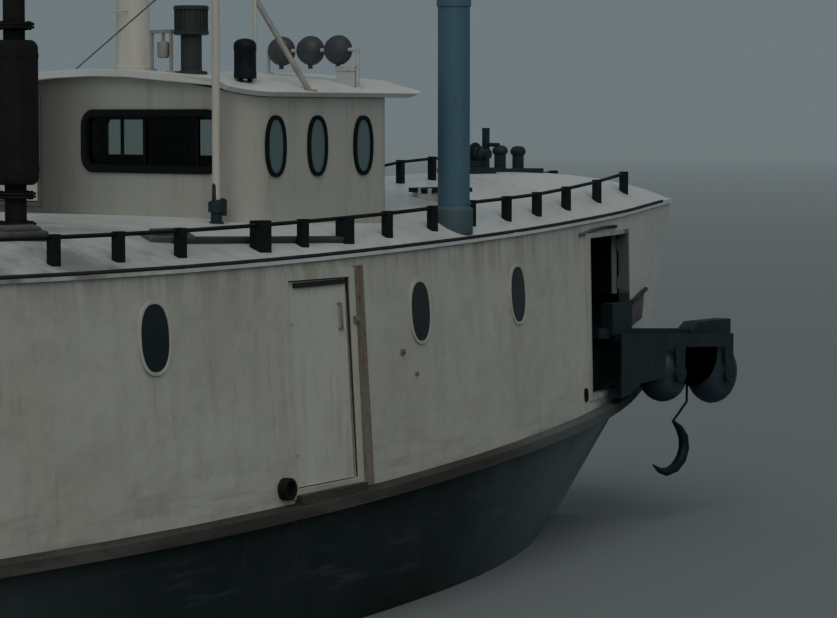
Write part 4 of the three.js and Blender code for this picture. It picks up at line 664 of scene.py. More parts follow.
# An oval fuller than an ellipse: the power tells how full
def ovalOutline(bm, width, height, segments=64, power=2.35):
    made = bmesh.ops.create_circle(bm, cap_ends=True, segments=segments, radius=0.5)["verts"]
    for vert in made:
        turn = math.atan2(vert.co.y, vert.co.x)
        across, up = math.cos(turn), math.sin(turn)
        vert.co.x = math.copysign(abs(across) ** (2 / power), across) * width / 2
        vert.co.y = math.copysign(abs(up) ** (2 / power), up) * height / 2
    return made[0].link_faces[0]


def roundedOutline(bm, width, height, corner, segments=8):
    made = bmesh.ops.create_grid(bm, x_segments=1, y_segments=1, size=0.5)["verts"]
    bmesh.ops.transform(bm, matrix=Matrix.Diagonal((width, height, 1, 1)), verts=made)
    outline = made[0].link_faces[0]
    result = bmesh.ops.bevel(
        bm, geom=made, offset=corner, offset_type="OFFSET", affect="VERTICES",
        segments=segments, profile=0.5, material=-1,
    )
    faces = {face for vert in result["verts"] for face in vert.link_faces}
    return max(faces | ({outline} if outline.is_valid else set()), key=lambda face: face.calc_area())


# A pane with the same outline, thin
def addPane(bm, outline, low, high):
    verts = list(outline.verts)
    raised = bmesh.ops.extrude_face_region(bm, geom=[outline])["geom"]
    raised = [item for item in raised if isinstance(item, bmesh.types.BMVert)]
    bmesh.ops.translate(bm, vec=(0, 0, low), verts=verts)
    bmesh.ops.translate(bm, vec=(0, 0, high), verts=raised)
    whole = verts + raised
    faces = list({face for vert in whole for face in vert.link_faces})
    bmesh.ops.recalc_face_normals(bm, faces=faces)
    return whole


# Shells of the boat

plates = [
    # material, slot, smooth angle, bevel, nodes
    ("hullPaint", "hull_paint", 40, 0, "hull_lower"),
    ("hullPaint", "hull_paint", 30, 0.012, "rudder"),
    ("guardPaint", "guard_steel", 40, 0, "rub_rail"),
    ("topsidePaint", "white_paint", 25, 0, "stem_bar side_starboard side_port stern_wall"),
    ("deckPaint", "deck_paint", 25, 0, "turtleback_deck"),
    ("topsidePaint", "white_paint", 30, 0.004, "side_door_frame_starboard side_door_frame_port"),
    ("doorPaint", "white_paint", 30, 0.003, "side_door_starboard side_door_port"),
    ("bowFramePaint", "white_paint", 30, 0.004, "bow_door_frame"),
    ("bowLeafPaint", "white_paint", 30, 0.003, "bow_door_leaf"),
    ("topsidePaint", "white_paint", 30, 0.004, "stern_door_frame"),
    ("doorPaint", "white_paint", 30, 0.003, "stern_door_starboard stern_door_port"),
    ("housePaint", "white_paint", 30, 0,
     "wheelhouse_aft_wall wheelhouse_front_wall wheelhouse_side_starboard wheelhouse_side_port"),
    ("roofPaint", "white_paint", 30, 0.012, "wheelhouse_roof"),
    ("housePaint", "white_paint", 30, 0.004, "wheelhouse_door_frame"),
    ("doorPaint", "white_paint", 30, 0.003, "wheelhouse_door"),
    ("greyPaint", "grey_paint", 30, 0.008, "helm_console"),
    ("windowRubber", "black_paint", 30, 0.014, "helm_chair"),
    ("blackPaint", "black_paint", 50, 0, "steering_wheel"),
    ("railPaint", "black_paint", 35, 0.006, "rail_starboard_fore rail_starboard_aft rail_port"),
    ("railPaint", "black_paint", 35, 0.005, "rail_foredeck"),
    ("blackPaint", "black_paint", 35, 0.006, "windlass_frame"),
    ("deckPaint", "white_paint", 35, 0.004, "foredeck_hatch_coaming"),
    ("blackPaint", "black_paint", 35, 0.006, "foredeck_hatch_lid bow_roller_frame"),
    ("screwBronze", "screw_bronze", 50, 0, "propeller"),
]


# CAD nodes that keep their own mesh and get a finish
kept = {
    "engine_block": "bareSteel", "wheelhouse_floor": "greyPaint", "aft_window_pane": "windowGlass",
    "front_window_port_side": "windowGlass", "front_window_centre": "windowGlass",
    "front_window_starboard_side": "windowGlass",
}


def makePlates():
    for material, slot, smooth, bevel, names in plates:
        for name in names.split():
            remake(name, material, smooth, bevel)
    for name, material in kept.items():
        for place in nodes[name].material_slots:
            place.link = "OBJECT"
            place.material = paints[material]


# Oval ports in the topsides and the wheelhouse

hullPorts = {
    "width": 0.322, "height": 0.505, "rim": 0.022, "proud": 0.018, "glassBack": 0.002,
    "places": ((-1.13, 2.4965), (2.48, 2.471), (4.325, 2.506)),
}
housePorts = {
    "width": 0.190, "height": 0.445, "rim": 0.026, "proud": 0.022, "glassBack": 0.002,
    "places": (1.15, 1.66, 2.24), "half": 1.75, "z": 3.86,
}


def addOvalPort(rims, glass, place, sizes):
    width, height = sizes["width"], sizes["height"]
    rim = sizes["rim"]
    outline = ovalOutline(rims, width + 2 * rim, height + 2 * rim)
    ring = addRing(rims, outline, rim + 0.006, -0.002, sizes["proud"])
    outline = ovalOutline(rims, width - 0.004, height - 0.004)
    sleeve = addRing(rims, outline, 0.012, -0.030, 0.006)
    bmesh.ops.transform(rims, matrix=place, verts=ring + sleeve)
    back = sizes["glassBack"]
    pane = addPane(glass, ovalOutline(glass, width - 0.012, height - 0.012), back, back + 0.008)
    bmesh.ops.transform(glass, matrix=place, verts=pane)


def makePorts():
    rims, glass = bmesh.new(), bmesh.new()
    for hand in (-1, 1):
        for x, z in hullPorts["places"]:
            addOvalPort(rims, glass, wallPlace(hand, x, z), hullPorts)
    finishPiece("hull_port_rims", rims, "topsidePaint", bevel=0.004, smooth=40)
    finishPiece("hull_port_glass", glass, "portGlass", smooth=40)
    rims, glass = bmesh.new(), bmesh.new()
    for hand in (-1, 1):
        for x in housePorts["places"]:
            place = basis((x, hand * housePorts["half"], housePorts["z"]), (-hand, 0, 0), (0, 0, 1))
            addOvalPort(rims, glass, place, housePorts)
    finishPiece("wheelhouse_port_rims", rims, "windowRubber", bevel=0.004, smooth=40)
    finishPiece("wheelhouse_port_glass", glass, "housePortGlass", smooth=40)


# Rubber round the wheelhouse windows

windows = {
    "aft": {"y": (-1.375, 0.11), "z": (3.682, 4.108), "corner": 0.09, "x": 0.85, "rim": 0.050},
    "front": {
        "ys": (-1.14, 0.0, 1.14), "width": 1.0, "z": (3.68, 4.09), "corner": 0.07, "x": 2.59, "rim": 0.026,
    },
    "mullionY": (-0.56, -1.16), "mullion": 0.028, "frontBar": 1.41, "frontBarHalf": 0.012,
    "shelf": {"x": (2.34, 2.50), "half": 1.60, "z": (3.60, 3.755)},
    "blind": {"x": 2.47, "y": (0.46, 1.01), "z": (3.64, 4.14), "fold": 0.030, "folds": 12},
}


def addWindowRubber(bm, place, width, height, corner, rim):
    outline = roundedOutline(bm, width + 2 * rim, height + 2 * rim, corner + rim)
    outside = addRing(bm, outline, rim + 0.010, -0.003, 0.020)
    outline = roundedOutline(bm, width - 0.002, height - 0.002, corner)
    inside = addRing(bm, outline, 0.016, -0.048, 0.004)
    bmesh.ops.transform(bm, matrix=place, verts=outside + inside)


def makeWindowRubbers():
    aft = windows["aft"]
    bm = bmesh.new()
    middle = (aft["x"], sum(aft["y"]) / 2, sum(aft["z"]) / 2)
    place = basis(middle, (0, -1, 0), (0, 0, 1))
    width, height = aft["y"][1] - aft["y"][0], aft["z"][1] - aft["z"][0]
    addWindowRubber(bm, place, width, height, aft["corner"], aft["rim"])
    for y in windows["mullionY"]:
        half = windows["mullion"] / 2
        addBox(bm, (aft["x"] + 0.006, y - half, aft["z"][0]), (aft["x"] + 0.040, y + half, aft["z"][1]))
    front = windows["front"]
    height = front["z"][1] - front["z"][0]
    for y in front["ys"]:
        place = basis((front["x"], y, sum(front["z"]) / 2), (0, 1, 0), (0, 0, 1))
        addWindowRubber(bm, place, front["width"], height, front["corner"], front["rim"])
    for hand in (-1, 1):
        y, half = hand * windows["frontBar"], windows["frontBarHalf"]
        low = (front["x"] - 0.040, y - half, front["z"][0])
        addBox(bm, low, (front["x"] - 0.008, y + half, front["z"][1]))
    finishPiece("wheelhouse_window_rubbers", bm, "windowRubber", bevel=0.004, smooth=40)


# A folded curtain drawn over part of the forward window
def makeBlind():
    blind = windows["blind"]
    bm = bmesh.new()
    low, high = blind["z"]
    first, last = blind["y"]
    bmesh.ops.create_grid(bm, x_segments=blind["folds"] * 6, y_segments=6, size=0.5)
    for vert in bm.verts:
        across, up = vert.co.x + 0.5, vert.co.y + 0.5
        wave = math.sin(across * blind["folds"] * math.tau) * blind["fold"] * (0.5 + 0.5 * (1 - up)) / 2
        vert.co = (blind["x"] + wave, first + (last - first) * across, low + (high - low) * up)
    bmesh.ops.solidify(bm, geom=bm.faces[:], thickness=0.004)
    bmesh.ops.recalc_face_normals(bm, faces=bm.faces[:])
    addRod(bm, (blind["x"], first - 0.05, high), (blind["x"], last + 0.05, high), 0.010, sides=16)
    finishPiece("wheelhouse_blind", bm, "windowRubber", smooth=60)
    shelf = windows["shelf"]
    bm = bmesh.new()
    addBox(
        bm, (shelf["x"][0], -shelf["half"], shelf["z"][0]), (shelf["x"][1], shelf["half"], shelf["z"][1]),
    )
    finishPiece("wheelhouse_window_shelf", bm, "windowRubber", bevel=0.010)


# Trim on the side doors: drip strip, step, a near-black plate in the gap beside the leaf that is painted
# shade, jamb and dog

doorTrim = {
    "x": 0.95,
    "drip": (-0.325, 0.395), "dripUp": (0.755, 0.792), "dripOut": 0.010,
    "step": (0.94, 0.115, 0.075), "stepUp": -0.905,
    "gap": (0.085, 1.60, 0.005), "gapAside": 0.462,
    "jamb": (0.150, 1.78, 0.012), "jambAside": 0.585,
    "dog": (0.075, 0.060, 0.040), "dogUp": 0.46, "dogAside": 0.50, "dogPin": (0.01, 0.06, 0.022),
    "grip": (0.30, 0.40, 0.60), "gripOut": 0.018, "gripRadius": 0.011,
}


def doorPlace(hand):
    low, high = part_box("side_door_starboard" if hand < 0 else "side_door_port")
    return wallPlace(hand, doorTrim["x"], (low.z + high.z) / 2, reach=(0.72, 0.74))


def addPlate(bm, place, aside, up, sizes):
    wide, tall, proud = sizes
    addBox(bm, (aside - wide / 2, up - tall / 2, -0.004), (aside + wide / 2, up + tall / 2, proud), place)


def makeDoorTrim():
    steel, dark, rusty = bmesh.new(), bmesh.new(), bmesh.new()
    for hand in (-1, 1):
        place = doorPlace(hand)
        ahead = -hand
        # Painted shade: a near-black plate on the frame beside the leaf
        addPlate(dark, place, ahead * doorTrim["gapAside"], 0, doorTrim["gap"])
        addPlate(steel, place, 0, doorTrim["stepUp"], doorTrim["step"])
        addPlate(rusty, place, ahead * doorTrim["jambAside"], 0, doorTrim["jamb"])
        at, up = ahead * doorTrim["dogAside"], doorTrim["dogUp"]
        addPlate(rusty, place, at, up, doorTrim["dog"])
        foot, tip, radius = doorTrim["dogPin"]
        addRod(rusty, place @ Vector((at, up, foot)), place @ Vector((at, up, tip)), radius, sides=20)
        aside, first, last = doorTrim["grip"]
        grip = bmesh.new()
        proud = doorTrim["gripOut"]
        path = [(first, -0.02), (first, proud), (last, proud), (last, -0.02)]
        spots = [place @ Vector((ahead * aside, up, out)) for up, out in path]
        addPipe(grip, spots, doorTrim["gripRadius"], sides=2)
        # Drip strip over the door; its near-black paint stands partly for the shade under the lintel, painted
        # shade
        drip = bmesh.new()
        ends = sorted(ahead * end for end in doorTrim["drip"])
        low, high = doorTrim["dripUp"]
        addBox(drip, (ends[0], low, -0.036), (ends[1], high, doorTrim["dripOut"]), place)
        side = "starboard" if hand < 0 else "port"
        leaf = f"side_door_{side}_leaf"
        finishPiece(f"side_door_{side}_drip", drip, "edgePaint", body=leaf, bevel=0.002)
        finishPiece(f"side_door_{side}_grip", grip, "postPaint", body=leaf, smooth=60)
    finishPiece("side_door_steps", steel, "guardPaint", bevel=0.008)
    finishPiece("side_door_gap_shade", dark, "edgePaint", bevel=0.002)
    finishPiece("side_door_jambs_and_dogs", rusty, "postPaint", bevel=0.004)


# Small lugs ahead of the starboard door
wallLugs = ((2.16, 2.155, 0.030), (2.37, 1.96, 0.020))


def makeWallLugs():
    bm = bmesh.new()
    for x, z, size in wallLugs:
        place = wallPlace(-1, x, z, reach=(0.05, 0.05))
        addBox(bm, (-size, -size * 0.8, -0.004), (size, size * 0.8, 0.014), place)
        addRod(bm, place @ Vector((0, 0, 0.01)), place @ Vector((0, 0, 0.03)), size * 0.45, sides=16)
    finishPiece("topside_lugs", bm, "postPaint", bevel=0.003)


# Dark bar along the deck's edge: part rubbing strip, part painted shade under the deck's lip

edgeBar = {
    "from": -8.50, "to": 9.30, "step": 0.35, "radius": 0.017, "in": 0.012, "down": 0.004,
    "searchFrom": 2.90, "searchStep": 0.012, "searches": 30,
}


# The deck's edge: the outermost place where a ray from the side meets the deck
def deckEdgeAt(x, hand):
    best = None
    for i in range(edgeBar["searches"]):
        z = edgeBar["searchFrom"] + edgeBar["searchStep"] * i
        spot = deckSkin.ray_cast(Vector((x, hand * 6, z)), Vector((0, -hand, 0)))[0]
        if spot and (best is None or hand * spot.y > hand * best.y + 0.004):
            best = spot
    return best


def makeEdgeBars():
    bm = bmesh.new()
    count = int((edgeBar["to"] - edgeBar["from"]) / edgeBar["step"])
    for hand in (-1, 1):
        spots = []
        for i in range(count + 1):
            x = edgeBar["from"] + i * edgeBar["step"]
            edge = deckEdgeAt(x, hand)
            if edge:
                y = edge.y - hand * edgeBar["in"]
                spots.append(Vector((x, y, topAt(deckSkin, x, y) - edgeBar["down"])))
        addPipe(bm, spots, edgeBar["radius"], sides=3)
    finishPiece("deck_edge_bars", bm, "edgePaint", smooth=60)


# Foremast, roof mast, poles and strut

foremast = {
    "place": (3.43, -1.785), "radius": 0.140, "foot": 0.168, "top": 7.60, "cap": 0.165,
    "yardDown": 0.67, "yardHalf": 0.48, "armDown": 0.43, "armHalf": 0.24,
    "lamp": 0.030, "lampAside": 0.40, "lampDown": 0.045,
}


def makeForemast():
    x, y = foremast["place"]
    base = topAt(deckSkin, x, y)
    radius, foot, top = foremast["radius"], foremast["foot"], foremast["top"]
    bm = bmesh.new()
    profile = [
        (0, -0.06), (foot, -0.06), (foot, 0.150), (foot - 0.008, 0.160), (radius + 0.006, 0.165),
        (radius, 0.172), (radius, 1.90), (radius + 0.010, 1.905), (radius + 0.010, 1.965), (radius, 1.970),
        (radius, top - base), (foremast["cap"], top - base + 0.002), (foremast["cap"], top - base + 0.020),
        (foremast["cap"] - 0.006, top - base + 0.025), (0, top - base + 0.025),
    ]
    addTurned(bm, profile, (x, y, base), sides=48)
    down = top - foremast["yardDown"]
    addRod(bm, (x, y - foremast["yardHalf"], down), (x, y + foremast["yardHalf"], down), 0.030, 0.022)
    for hand in (-1, 1):
        spot = (x, y + hand * foremast["lampAside"], down - foremast["lampDown"])
        addBall(bm, spot, foremast["lamp"], (0.6, 1, 1.2), 16)
        arm = top - foremast["armDown"]
        addRod(bm, (x + hand * 0.10, y, arm), (x + hand * foremast["armHalf"], y, arm), 0.030, 0.024)
    addRod(bm, (x, y, base + 0.20), (x + 0.02, y - foot, base + 0.20), 0.012)
    finishPiece("foremast_shape", bm, "mastPaint", replaced=("foremast",), smooth=40)


roofMast = {
    "place": (1.42, 0.12), "radius": 0.160, "topRadius": 0.110, "top": 7.0,
    "steps": 5, "firstStep": 0.5, "stepRise": 0.38, "stepHalf": 0.07, "stepX": (0.135, 0.20),
}


def makeRoofMast():
    x, y = roofMast["place"]
    base = topAt(roofSkin, x, y)
    tall = roofMast["top"] - base
    wide, thin = roofMast["radius"], roofMast["topRadius"]
    bm = bmesh.new()
    addTurned(bm, [
        (0, -0.03), (wide, -0.03), (wide, 0.03), (wide - 0.006, 0.036), (wide - 0.012, 0.05), (thin, tall),
        (thin + 0.040, tall + 0.001), (thin + 0.040, tall + 0.016), (0.072, tall + 0.020),
        (0.070, tall + 0.10), (0.078, tall + 0.105), (0.078, tall + 0.12), (0.070, tall + 0.125),
        (0.066, tall + 0.17), (0.040, tall + 0.19), (0, tall + 0.19),
    ], (x, y, base), sides=48)
    near, far = (x - back for back in roofMast["stepX"])
    half = roofMast["stepHalf"]
    for i in range(roofMast["steps"]):
        up = base + roofMast["firstStep"] + roofMast["stepRise"] * i
        step = [(near, y - half, up), (far, y - half, up), (far, y + half, up), (near, y + half, up)]
        addPipe(bm, step, 0.008, sides=2)
    finishPiece("roof_mast_shape", bm, "creamPaint", replaced=("roof_mast",), smooth=40)


deckPole = {"place": (0.66, -1.56), "radius": 0.032, "top": 5.45}


def makeDeckPole():
    x, y = deckPole["place"]
    base = topAt(deckSkin, x, y)
    radius = deckPole["radius"]
    tall = deckPole["top"] - base
    bm = bmesh.new()
    addTurned(bm, [
        (0, -0.02), (radius, -0.02), (radius, tall), (0.045, tall + 0.004), (0.045, tall + 0.03),
        (0.02, tall + 0.045), (0, tall + 0.045),
    ], (x, y, base), sides=28)
    finishPiece("deck_pole_shape", bm, "creamPaint", replaced=("deck_pole",), smooth=40)
    bm = bmesh.new()
    addTurned(bm, [
        (0, -0.02), (0.060, -0.02), (0.060, 0.012), (0.046, 0.016), (0.044, 0.085), (0.066, 0.090),
        (0.066, 0.170), (0.040, 0.180), (0.036, 0.19), (0, 0.19),
    ], (x, y, base), sides=28)
    tank = [(0, 0.06), (0.050, 0.06), (0.050, 0.185), (0.030, 0.20), (0, 0.20)]
    addTurned(bm, tank, (x + 0.05, y, base), sides=28)
    spout = [(0, 0.15), (0.022, 0.15), (0.020, 0.30), (0.013, 0.32), (0, 0.32)]
    addTurned(bm, spout, (x - 0.02, y, base), sides=20)
    finishPiece("deck_pole_pump", bm, "blackPaint", smooth=40)


thinPole = {"place": (1.23, -1.46), "radius": 0.016, "top": 6.20}
strut = {"foot": (1.56, -1.77), "head": (1.47, 0.05, 6.75), "radius": 0.024}


def makeThinPole():
    x, y = thinPole["place"]
    base = topAt(roofSkin, x, y)
    radius = thinPole["radius"]
    tall = thinPole["top"] - base
    bm = bmesh.new()
    addTurned(bm, [
        (0, -0.02), (0.045, -0.02), (0.045, 0.018), (0.022, 0.025), (radius, 0.06), (radius, 1.2),
        (radius - 0.004, 1.21), (radius - 0.008, tall - 0.01), (0, tall),
    ], (x, y, base), sides=20)
    finishPiece("roof_pole_shape", bm, "creamPaint", replaced=("roof_pole",), smooth=40)
    x, y = strut["foot"]
    foot = Vector((x, y, topAt(roofSkin, x, y) - 0.02))
    bm = bmesh.new()
    addRod(bm, foot, strut["head"], strut["radius"], sides=20)
    addRod(bm, foot, foot + Vector((0, 0, 0.03)), 0.055, sides=24)
    finishPiece("roof_strut_shape", bm, "strutPaint", replaced=("roof_strut",), smooth=60)


# Wires that are trim
wires = {
    "radius": 0.007,
    "runs": (
        ((0.80, 0.17, 4.50), (0.66, -1.56, 5.43)),
        ((0.66, -1.56, 5.43), (1.42, 0.02, 6.70)),
        ((1.23, -1.46, 5.70), (1.42, 0.02, 6.40)),
    ),
}


def makeWires():
    bm = bmesh.new()
    for start, end in wires["runs"]:
        addRod(bm, start, end, wires["radius"], sides=10)
    finishPiece("roof_wires", bm, "wireSteel", smooth=60)


# Silencer with its pipes

silencer = {
    "place": (-0.88, -0.90), "radius": 0.185, "low": 3.575, "high": 4.68, "neck": 0.084, "flange": 0.155,
    "stack": 5.25, "elbow": 0.33, "elbowRise": 0.26, "bolts": 10, "boltCircle": 0.123, "flangeThick": 0.018,
    "lowFlanges": (-0.10, -0.076), "highFlanges": (0.09, 0.114),
}


def addFlange(bm, x, y, z, thick):
    flange, circle = silencer["flange"], silencer["boltCircle"]
    addTurned(bm, [(0.05, 0), (flange, 0), (flange, thick), (0.05, thick), (0.05, 0)], (x, y, z), sides=36)
    for i in range(silencer["bolts"]):
        turn = math.tau * i / silencer["bolts"]
        spot = Vector((x + circle * math.cos(turn), y + circle * math.sin(turn), 0))
        addRod(bm, spot + Vector((0, 0, z - 0.012)), spot + Vector((0, 0, z + thick + 0.012)), 0.012, sides=6)


def makeSilencer():
    x, y = silencer["place"]
    base = topAt(deckSkin, x, y)
    radius, neck = silencer["radius"], silencer["neck"]
    low, high = silencer["low"] - base, silencer["high"] - base
    bm = bmesh.new()
    addTurned(bm, [
        (0, -0.03), (neck, -0.03), (neck, low), (radius - 0.045, low), (radius - 0.02, low + 0.018),
        (radius - 0.004, low + 0.05), (radius - 0.004, low + 0.10), (radius, low + 0.105),
        (radius, low + 0.135), (radius - 0.004, low + 0.14), (radius - 0.004, high - 0.14),
        (radius, high - 0.135), (radius, high - 0.105), (radius - 0.004, high - 0.10),
        (radius - 0.004, high - 0.05), (radius - 0.02, high - 0.018), (radius - 0.045, high), (neck, high),
        (neck, silencer["stack"] - base), (0, silencer["stack"] - base),
    ], (x, y, base), sides=48)
    for end in ("low", "high"):
        for up in silencer[f"{end}Flanges"]:
            addFlange(bm, x, y, silencer[end] + up, silencer["flangeThick"])
    addFlange(bm, x, y, base - 0.004, 0.022)
    mouth = Vector((x - silencer["elbow"], y, silencer["stack"] + silencer["elbowRise"]))
    stack = Vector((x, y, silencer["stack"]))
    bend = [stack - Vector((0, 0, 0.12)), stack + Vector((0, 0, 0.02)), stack + (mouth - stack) * 0.25, mouth]
    addPipe(bm, bend, neck, sides=8, kind="NURBS")
    finishPiece("silencer_shape", bm, "rustySteel", replaced=("silencer",), smooth=36)


# Gear on the wheelhouse roof

vent = {"place": (1.16, -0.815), "stem": 0.087, "cap": 0.146, "capLow": 4.77, "capHigh": 5.01}
bracket = {"place": (1.05, -0.60), "legs": (0.13, -0.09), "rise": 0.33}
canister = {"place": (1.08, -1.49), "radius": 0.092, "low": 0.040, "high": 0.315}
lampRow = {"x": 2.30, "ys": (-0.79, -1.12, -1.43), "z": 4.66, "radius": 0.125, "ends": (-0.64, -1.65)}


def makeVent():
    x, y = vent["place"]
    base = topAt(roofSkin, x, y)
    stem, cap = vent["stem"], vent["cap"]
    low, high = vent["capLow"] - base, vent["capHigh"] - base
    bm = bmesh.new()
    addTurned(bm, [
        (0, -0.03), (stem + 0.045, -0.03), (stem + 0.045, 0.016), (stem + 0.006, 0.022), (stem, 0.03),
        (stem, low), (cap - 0.010, low), (cap, low + 0.006), (cap, low + 0.030), (cap - 0.014, low + 0.034),
        (cap - 0.014, high - 0.036), (cap, high - 0.032), (cap, high - 0.008), (cap - 0.012, high),
        (0, high),
    ], (x, y, base), sides=48)
    slats = 22
    for i in range(slats):
        turn = Matrix.Translation((x, y, 0)) @ Matrix.Rotation(math.tau * i / slats, 4, "Z")
        addBox(bm, (cap - 0.018, -0.006, base + low + 0.03), (cap - 0.006, 0.006, base + high - 0.03), turn)
    finishPiece("roof_vent_shape", bm, "ventPaint", replaced=("roof_vent",), smooth=36)


def makeBracket():
    x, y = bracket["place"]
    rise = bracket["rise"]
    bm = bmesh.new()
    top = topAt(roofSkin, x, y) + rise
    for aside in bracket["legs"]:
        foot = topAt(roofSkin, x, y + aside)
        addRod(bm, (x, y + aside, foot - 0.01), (x, y + aside, top), 0.015, sides=16)
        addRod(bm, (x, y + aside, foot - 0.006), (x, y + aside, foot + 0.010), 0.040, sides=20)
    low, high = min(bracket["legs"]), max(bracket["legs"])
    addBox(bm, (x - 0.019, y + low - 0.015, top - 0.016), (x + 0.019, y + high + 0.015, top + 0.014))
    addTurned(bm, [
        (0, -0.22), (0.040, -0.22), (0.050, -0.205), (0.050, -0.10), (0.042, -0.085), (0.014, -0.08),
        (0.014, -0.01), (0, -0.01),
    ], (x, y, top), sides=28)
    finishPiece(
        "roof_bracket_shape", bm, "strutPaint",
        replaced=("roof_bracket",), smooth=36, bevel=0.003,
    )


def makeCanister():
    x, y = canister["place"]
    base = topAt(roofSkin, x, y)
    radius, low, high = canister["radius"], canister["low"], canister["high"]
    bm = bmesh.new()
    addTurned(bm, [
        (0, low), (radius - 0.012, low), (radius, low + 0.012), (radius, low + 0.05),
        (radius - 0.003, low + 0.055), (radius - 0.003, high - 0.05), (radius, high - 0.045), (radius, high),
        (radius - 0.010, high + 0.022), (radius * 0.62, high + 0.040), (radius * 0.25, high + 0.048),
        (0, high + 0.050),
    ], (x, y, base), sides=40)
    for aside in (-0.055, 0.055):
        foot = (x + aside - 0.014, y - 0.014, base - 0.02)
        addBox(bm, foot, (x + aside + 0.014, y + 0.014, base + low + 0.02))
    finishPiece("roof_canister_shape", bm, "tankPaint", replaced=("roof_canister",), smooth=36)


def makeLampRow():
    x, z, radius = lampRow["x"], lampRow["z"], lampRow["radius"]
    bm = bmesh.new()
    for y in lampRow["ys"]:
        addTurned(bm, [
            (0, -radius * 0.84), (radius * 0.45, -radius * 0.78), (radius * 0.78, -radius * 0.55),
            (radius * 0.96, -radius * 0.2), (radius, 0), (radius, 0.012), (radius * 0.97, 0.018),
            (radius * 0.97, 0.026), (radius * 0.99, 0.032), (radius * 0.90, radius * 0.45),
            (radius * 0.66, radius * 0.72), (radius * 0.3, radius * 0.83), (0, radius * 0.84),
        ], (x, y, z), axis=(1, 0, 0), sides=40)
        addRod(bm, (x, y, z - radius + 0.01), (x, y, z - radius - 0.03), 0.020, sides=16)
    finishPiece(
        "roof_lamp_row_shape", bm, "lampRubber", replaced=("roof_lamp_row",), smooth=40,
    )
    first, last = lampRow["ends"]
    bm = bmesh.new()
    addRod(bm, (x, first, z), (x, last, z), 0.016, sides=20)
    for y in (first, last):
        foot = topAt(roofSkin, x, y)
        addRod(bm, (x, y, foot - 0.01), (x, y, z + 0.016), 0.016, sides=20)
        addRod(bm, (x, y, foot - 0.008), (x, y, foot + 0.010), 0.042, sides=24)
    finishPiece("roof_lamp_rack", bm, "bracketWhite", smooth=40)


roofBox = {"place": (2.31, -1.53), "half": (0.04, 0.10), "height": 0.17}


def makeRoofBox():
    (x, y), (halfX, halfY) = roofBox["place"], roofBox["half"]
    base = topAt(roofSkin, x, y)
    low = Vector((x - halfX, y - halfY, base - 0.01))
    high = Vector((x + halfX, y + halfY, base + roofBox["height"]))
    bm = bmesh.new()
    addBox(bm, low, high)
    lidLow = (low.x - 0.012, low.y - 0.012, high.z - 0.045)
    addBox(bm, lidLow, (high.x + 0.012, high.y + 0.012, high.z - 0.030))
    finishPiece("roof_box", bm, "bracketWhite", bevel=0.008)


# Battens lying along the deck: start and end, width and height
deckBattens = (
    ((-2.05, -1.93), (-1.62, -1.98), 0.16, 0.10),
    ((-0.62, -2.02), (-0.20, -2.08), 0.15, 0.09),
)


def makeDeckBattens():
    bm = bmesh.new()
    for start, end, wide, tall in deckBattens:
        middle = ((start[0] + end[0]) / 2, (start[1] + end[1]) / 2)
        length = math.dist(start, end)
        base = topAt(deckSkin, *middle)
        lean = topAt(deckSkin, middle[0], middle[1] + 0.1) - topAt(deckSkin, middle[0], middle[1] - 0.1)
        place = basis((*middle, base - 0.01), (end[0] - start[0], end[1] - start[1], 0), (0, 0.2, lean))
        addBox(bm, (-length / 2, -wide / 2, 0), (length / 2, wide / 2, tall * 0.7), place)
        low = (-length / 2 + 0.06, -wide / 2 + 0.025, 0.01)
        addBox(bm, low, (length / 2 - 0.05, wide / 2 - 0.025, tall), place)
    finishPiece("deck_battens", bm, "chafePaint", bevel=0.012)


# Foredeck gear

drum = {
    "place": (5.90, 0.0, 3.73659), "shaft": (-0.194, 0.264), "barrel": 0.080, "half": 0.112, "rim": 0.112,
    "warp": 0.062, "warpFrom": -0.280, "warpTo": -0.184,
}
bitts = {"xs": (6.52, 6.82), "y": 0.06, "radius": 0.058, "head": 0.078, "height": 0.22}


def makeDrum():
    half, rim, barrel, warp = drum["half"], drum["rim"], drum["barrel"], drum["warp"]
    end = drum["shaft"][1]
    start, stop = drum["warpFrom"], drum["warpTo"]
    edge = half + 0.004
    bm = bmesh.new()
    addTurned(bm, [
        (0, start), (warp - 0.018, start), (warp - 0.014, start + 0.006), (warp - 0.020, start + 0.030),
        (warp - 0.016, stop - 0.030), (warp - 0.002, stop - 0.010), (warp, stop - 0.004), (0.0385, stop),
        (0.0385, -edge), (rim - 0.004, -edge), (rim, -edge + 0.005), (rim, -edge + 0.018),
        (rim - 0.006, -edge + 0.022), (barrel, -edge + 0.028), (barrel, edge - 0.028),
        (rim - 0.006, edge - 0.022), (rim, edge - 0.018), (rim, edge - 0.005), (rim - 0.004, edge),
        (0.0385, edge), (0.0385, end - 0.006), (0.034, end), (0, end),
    ], drum["place"], axis=(0, 1, 0), sides=40)
    finishPiece(
        "windlass_drum_shape", bm, "blackPaint", body="windlass_barrel",
        replaced=("windlass_drum",), smooth=36,
    )


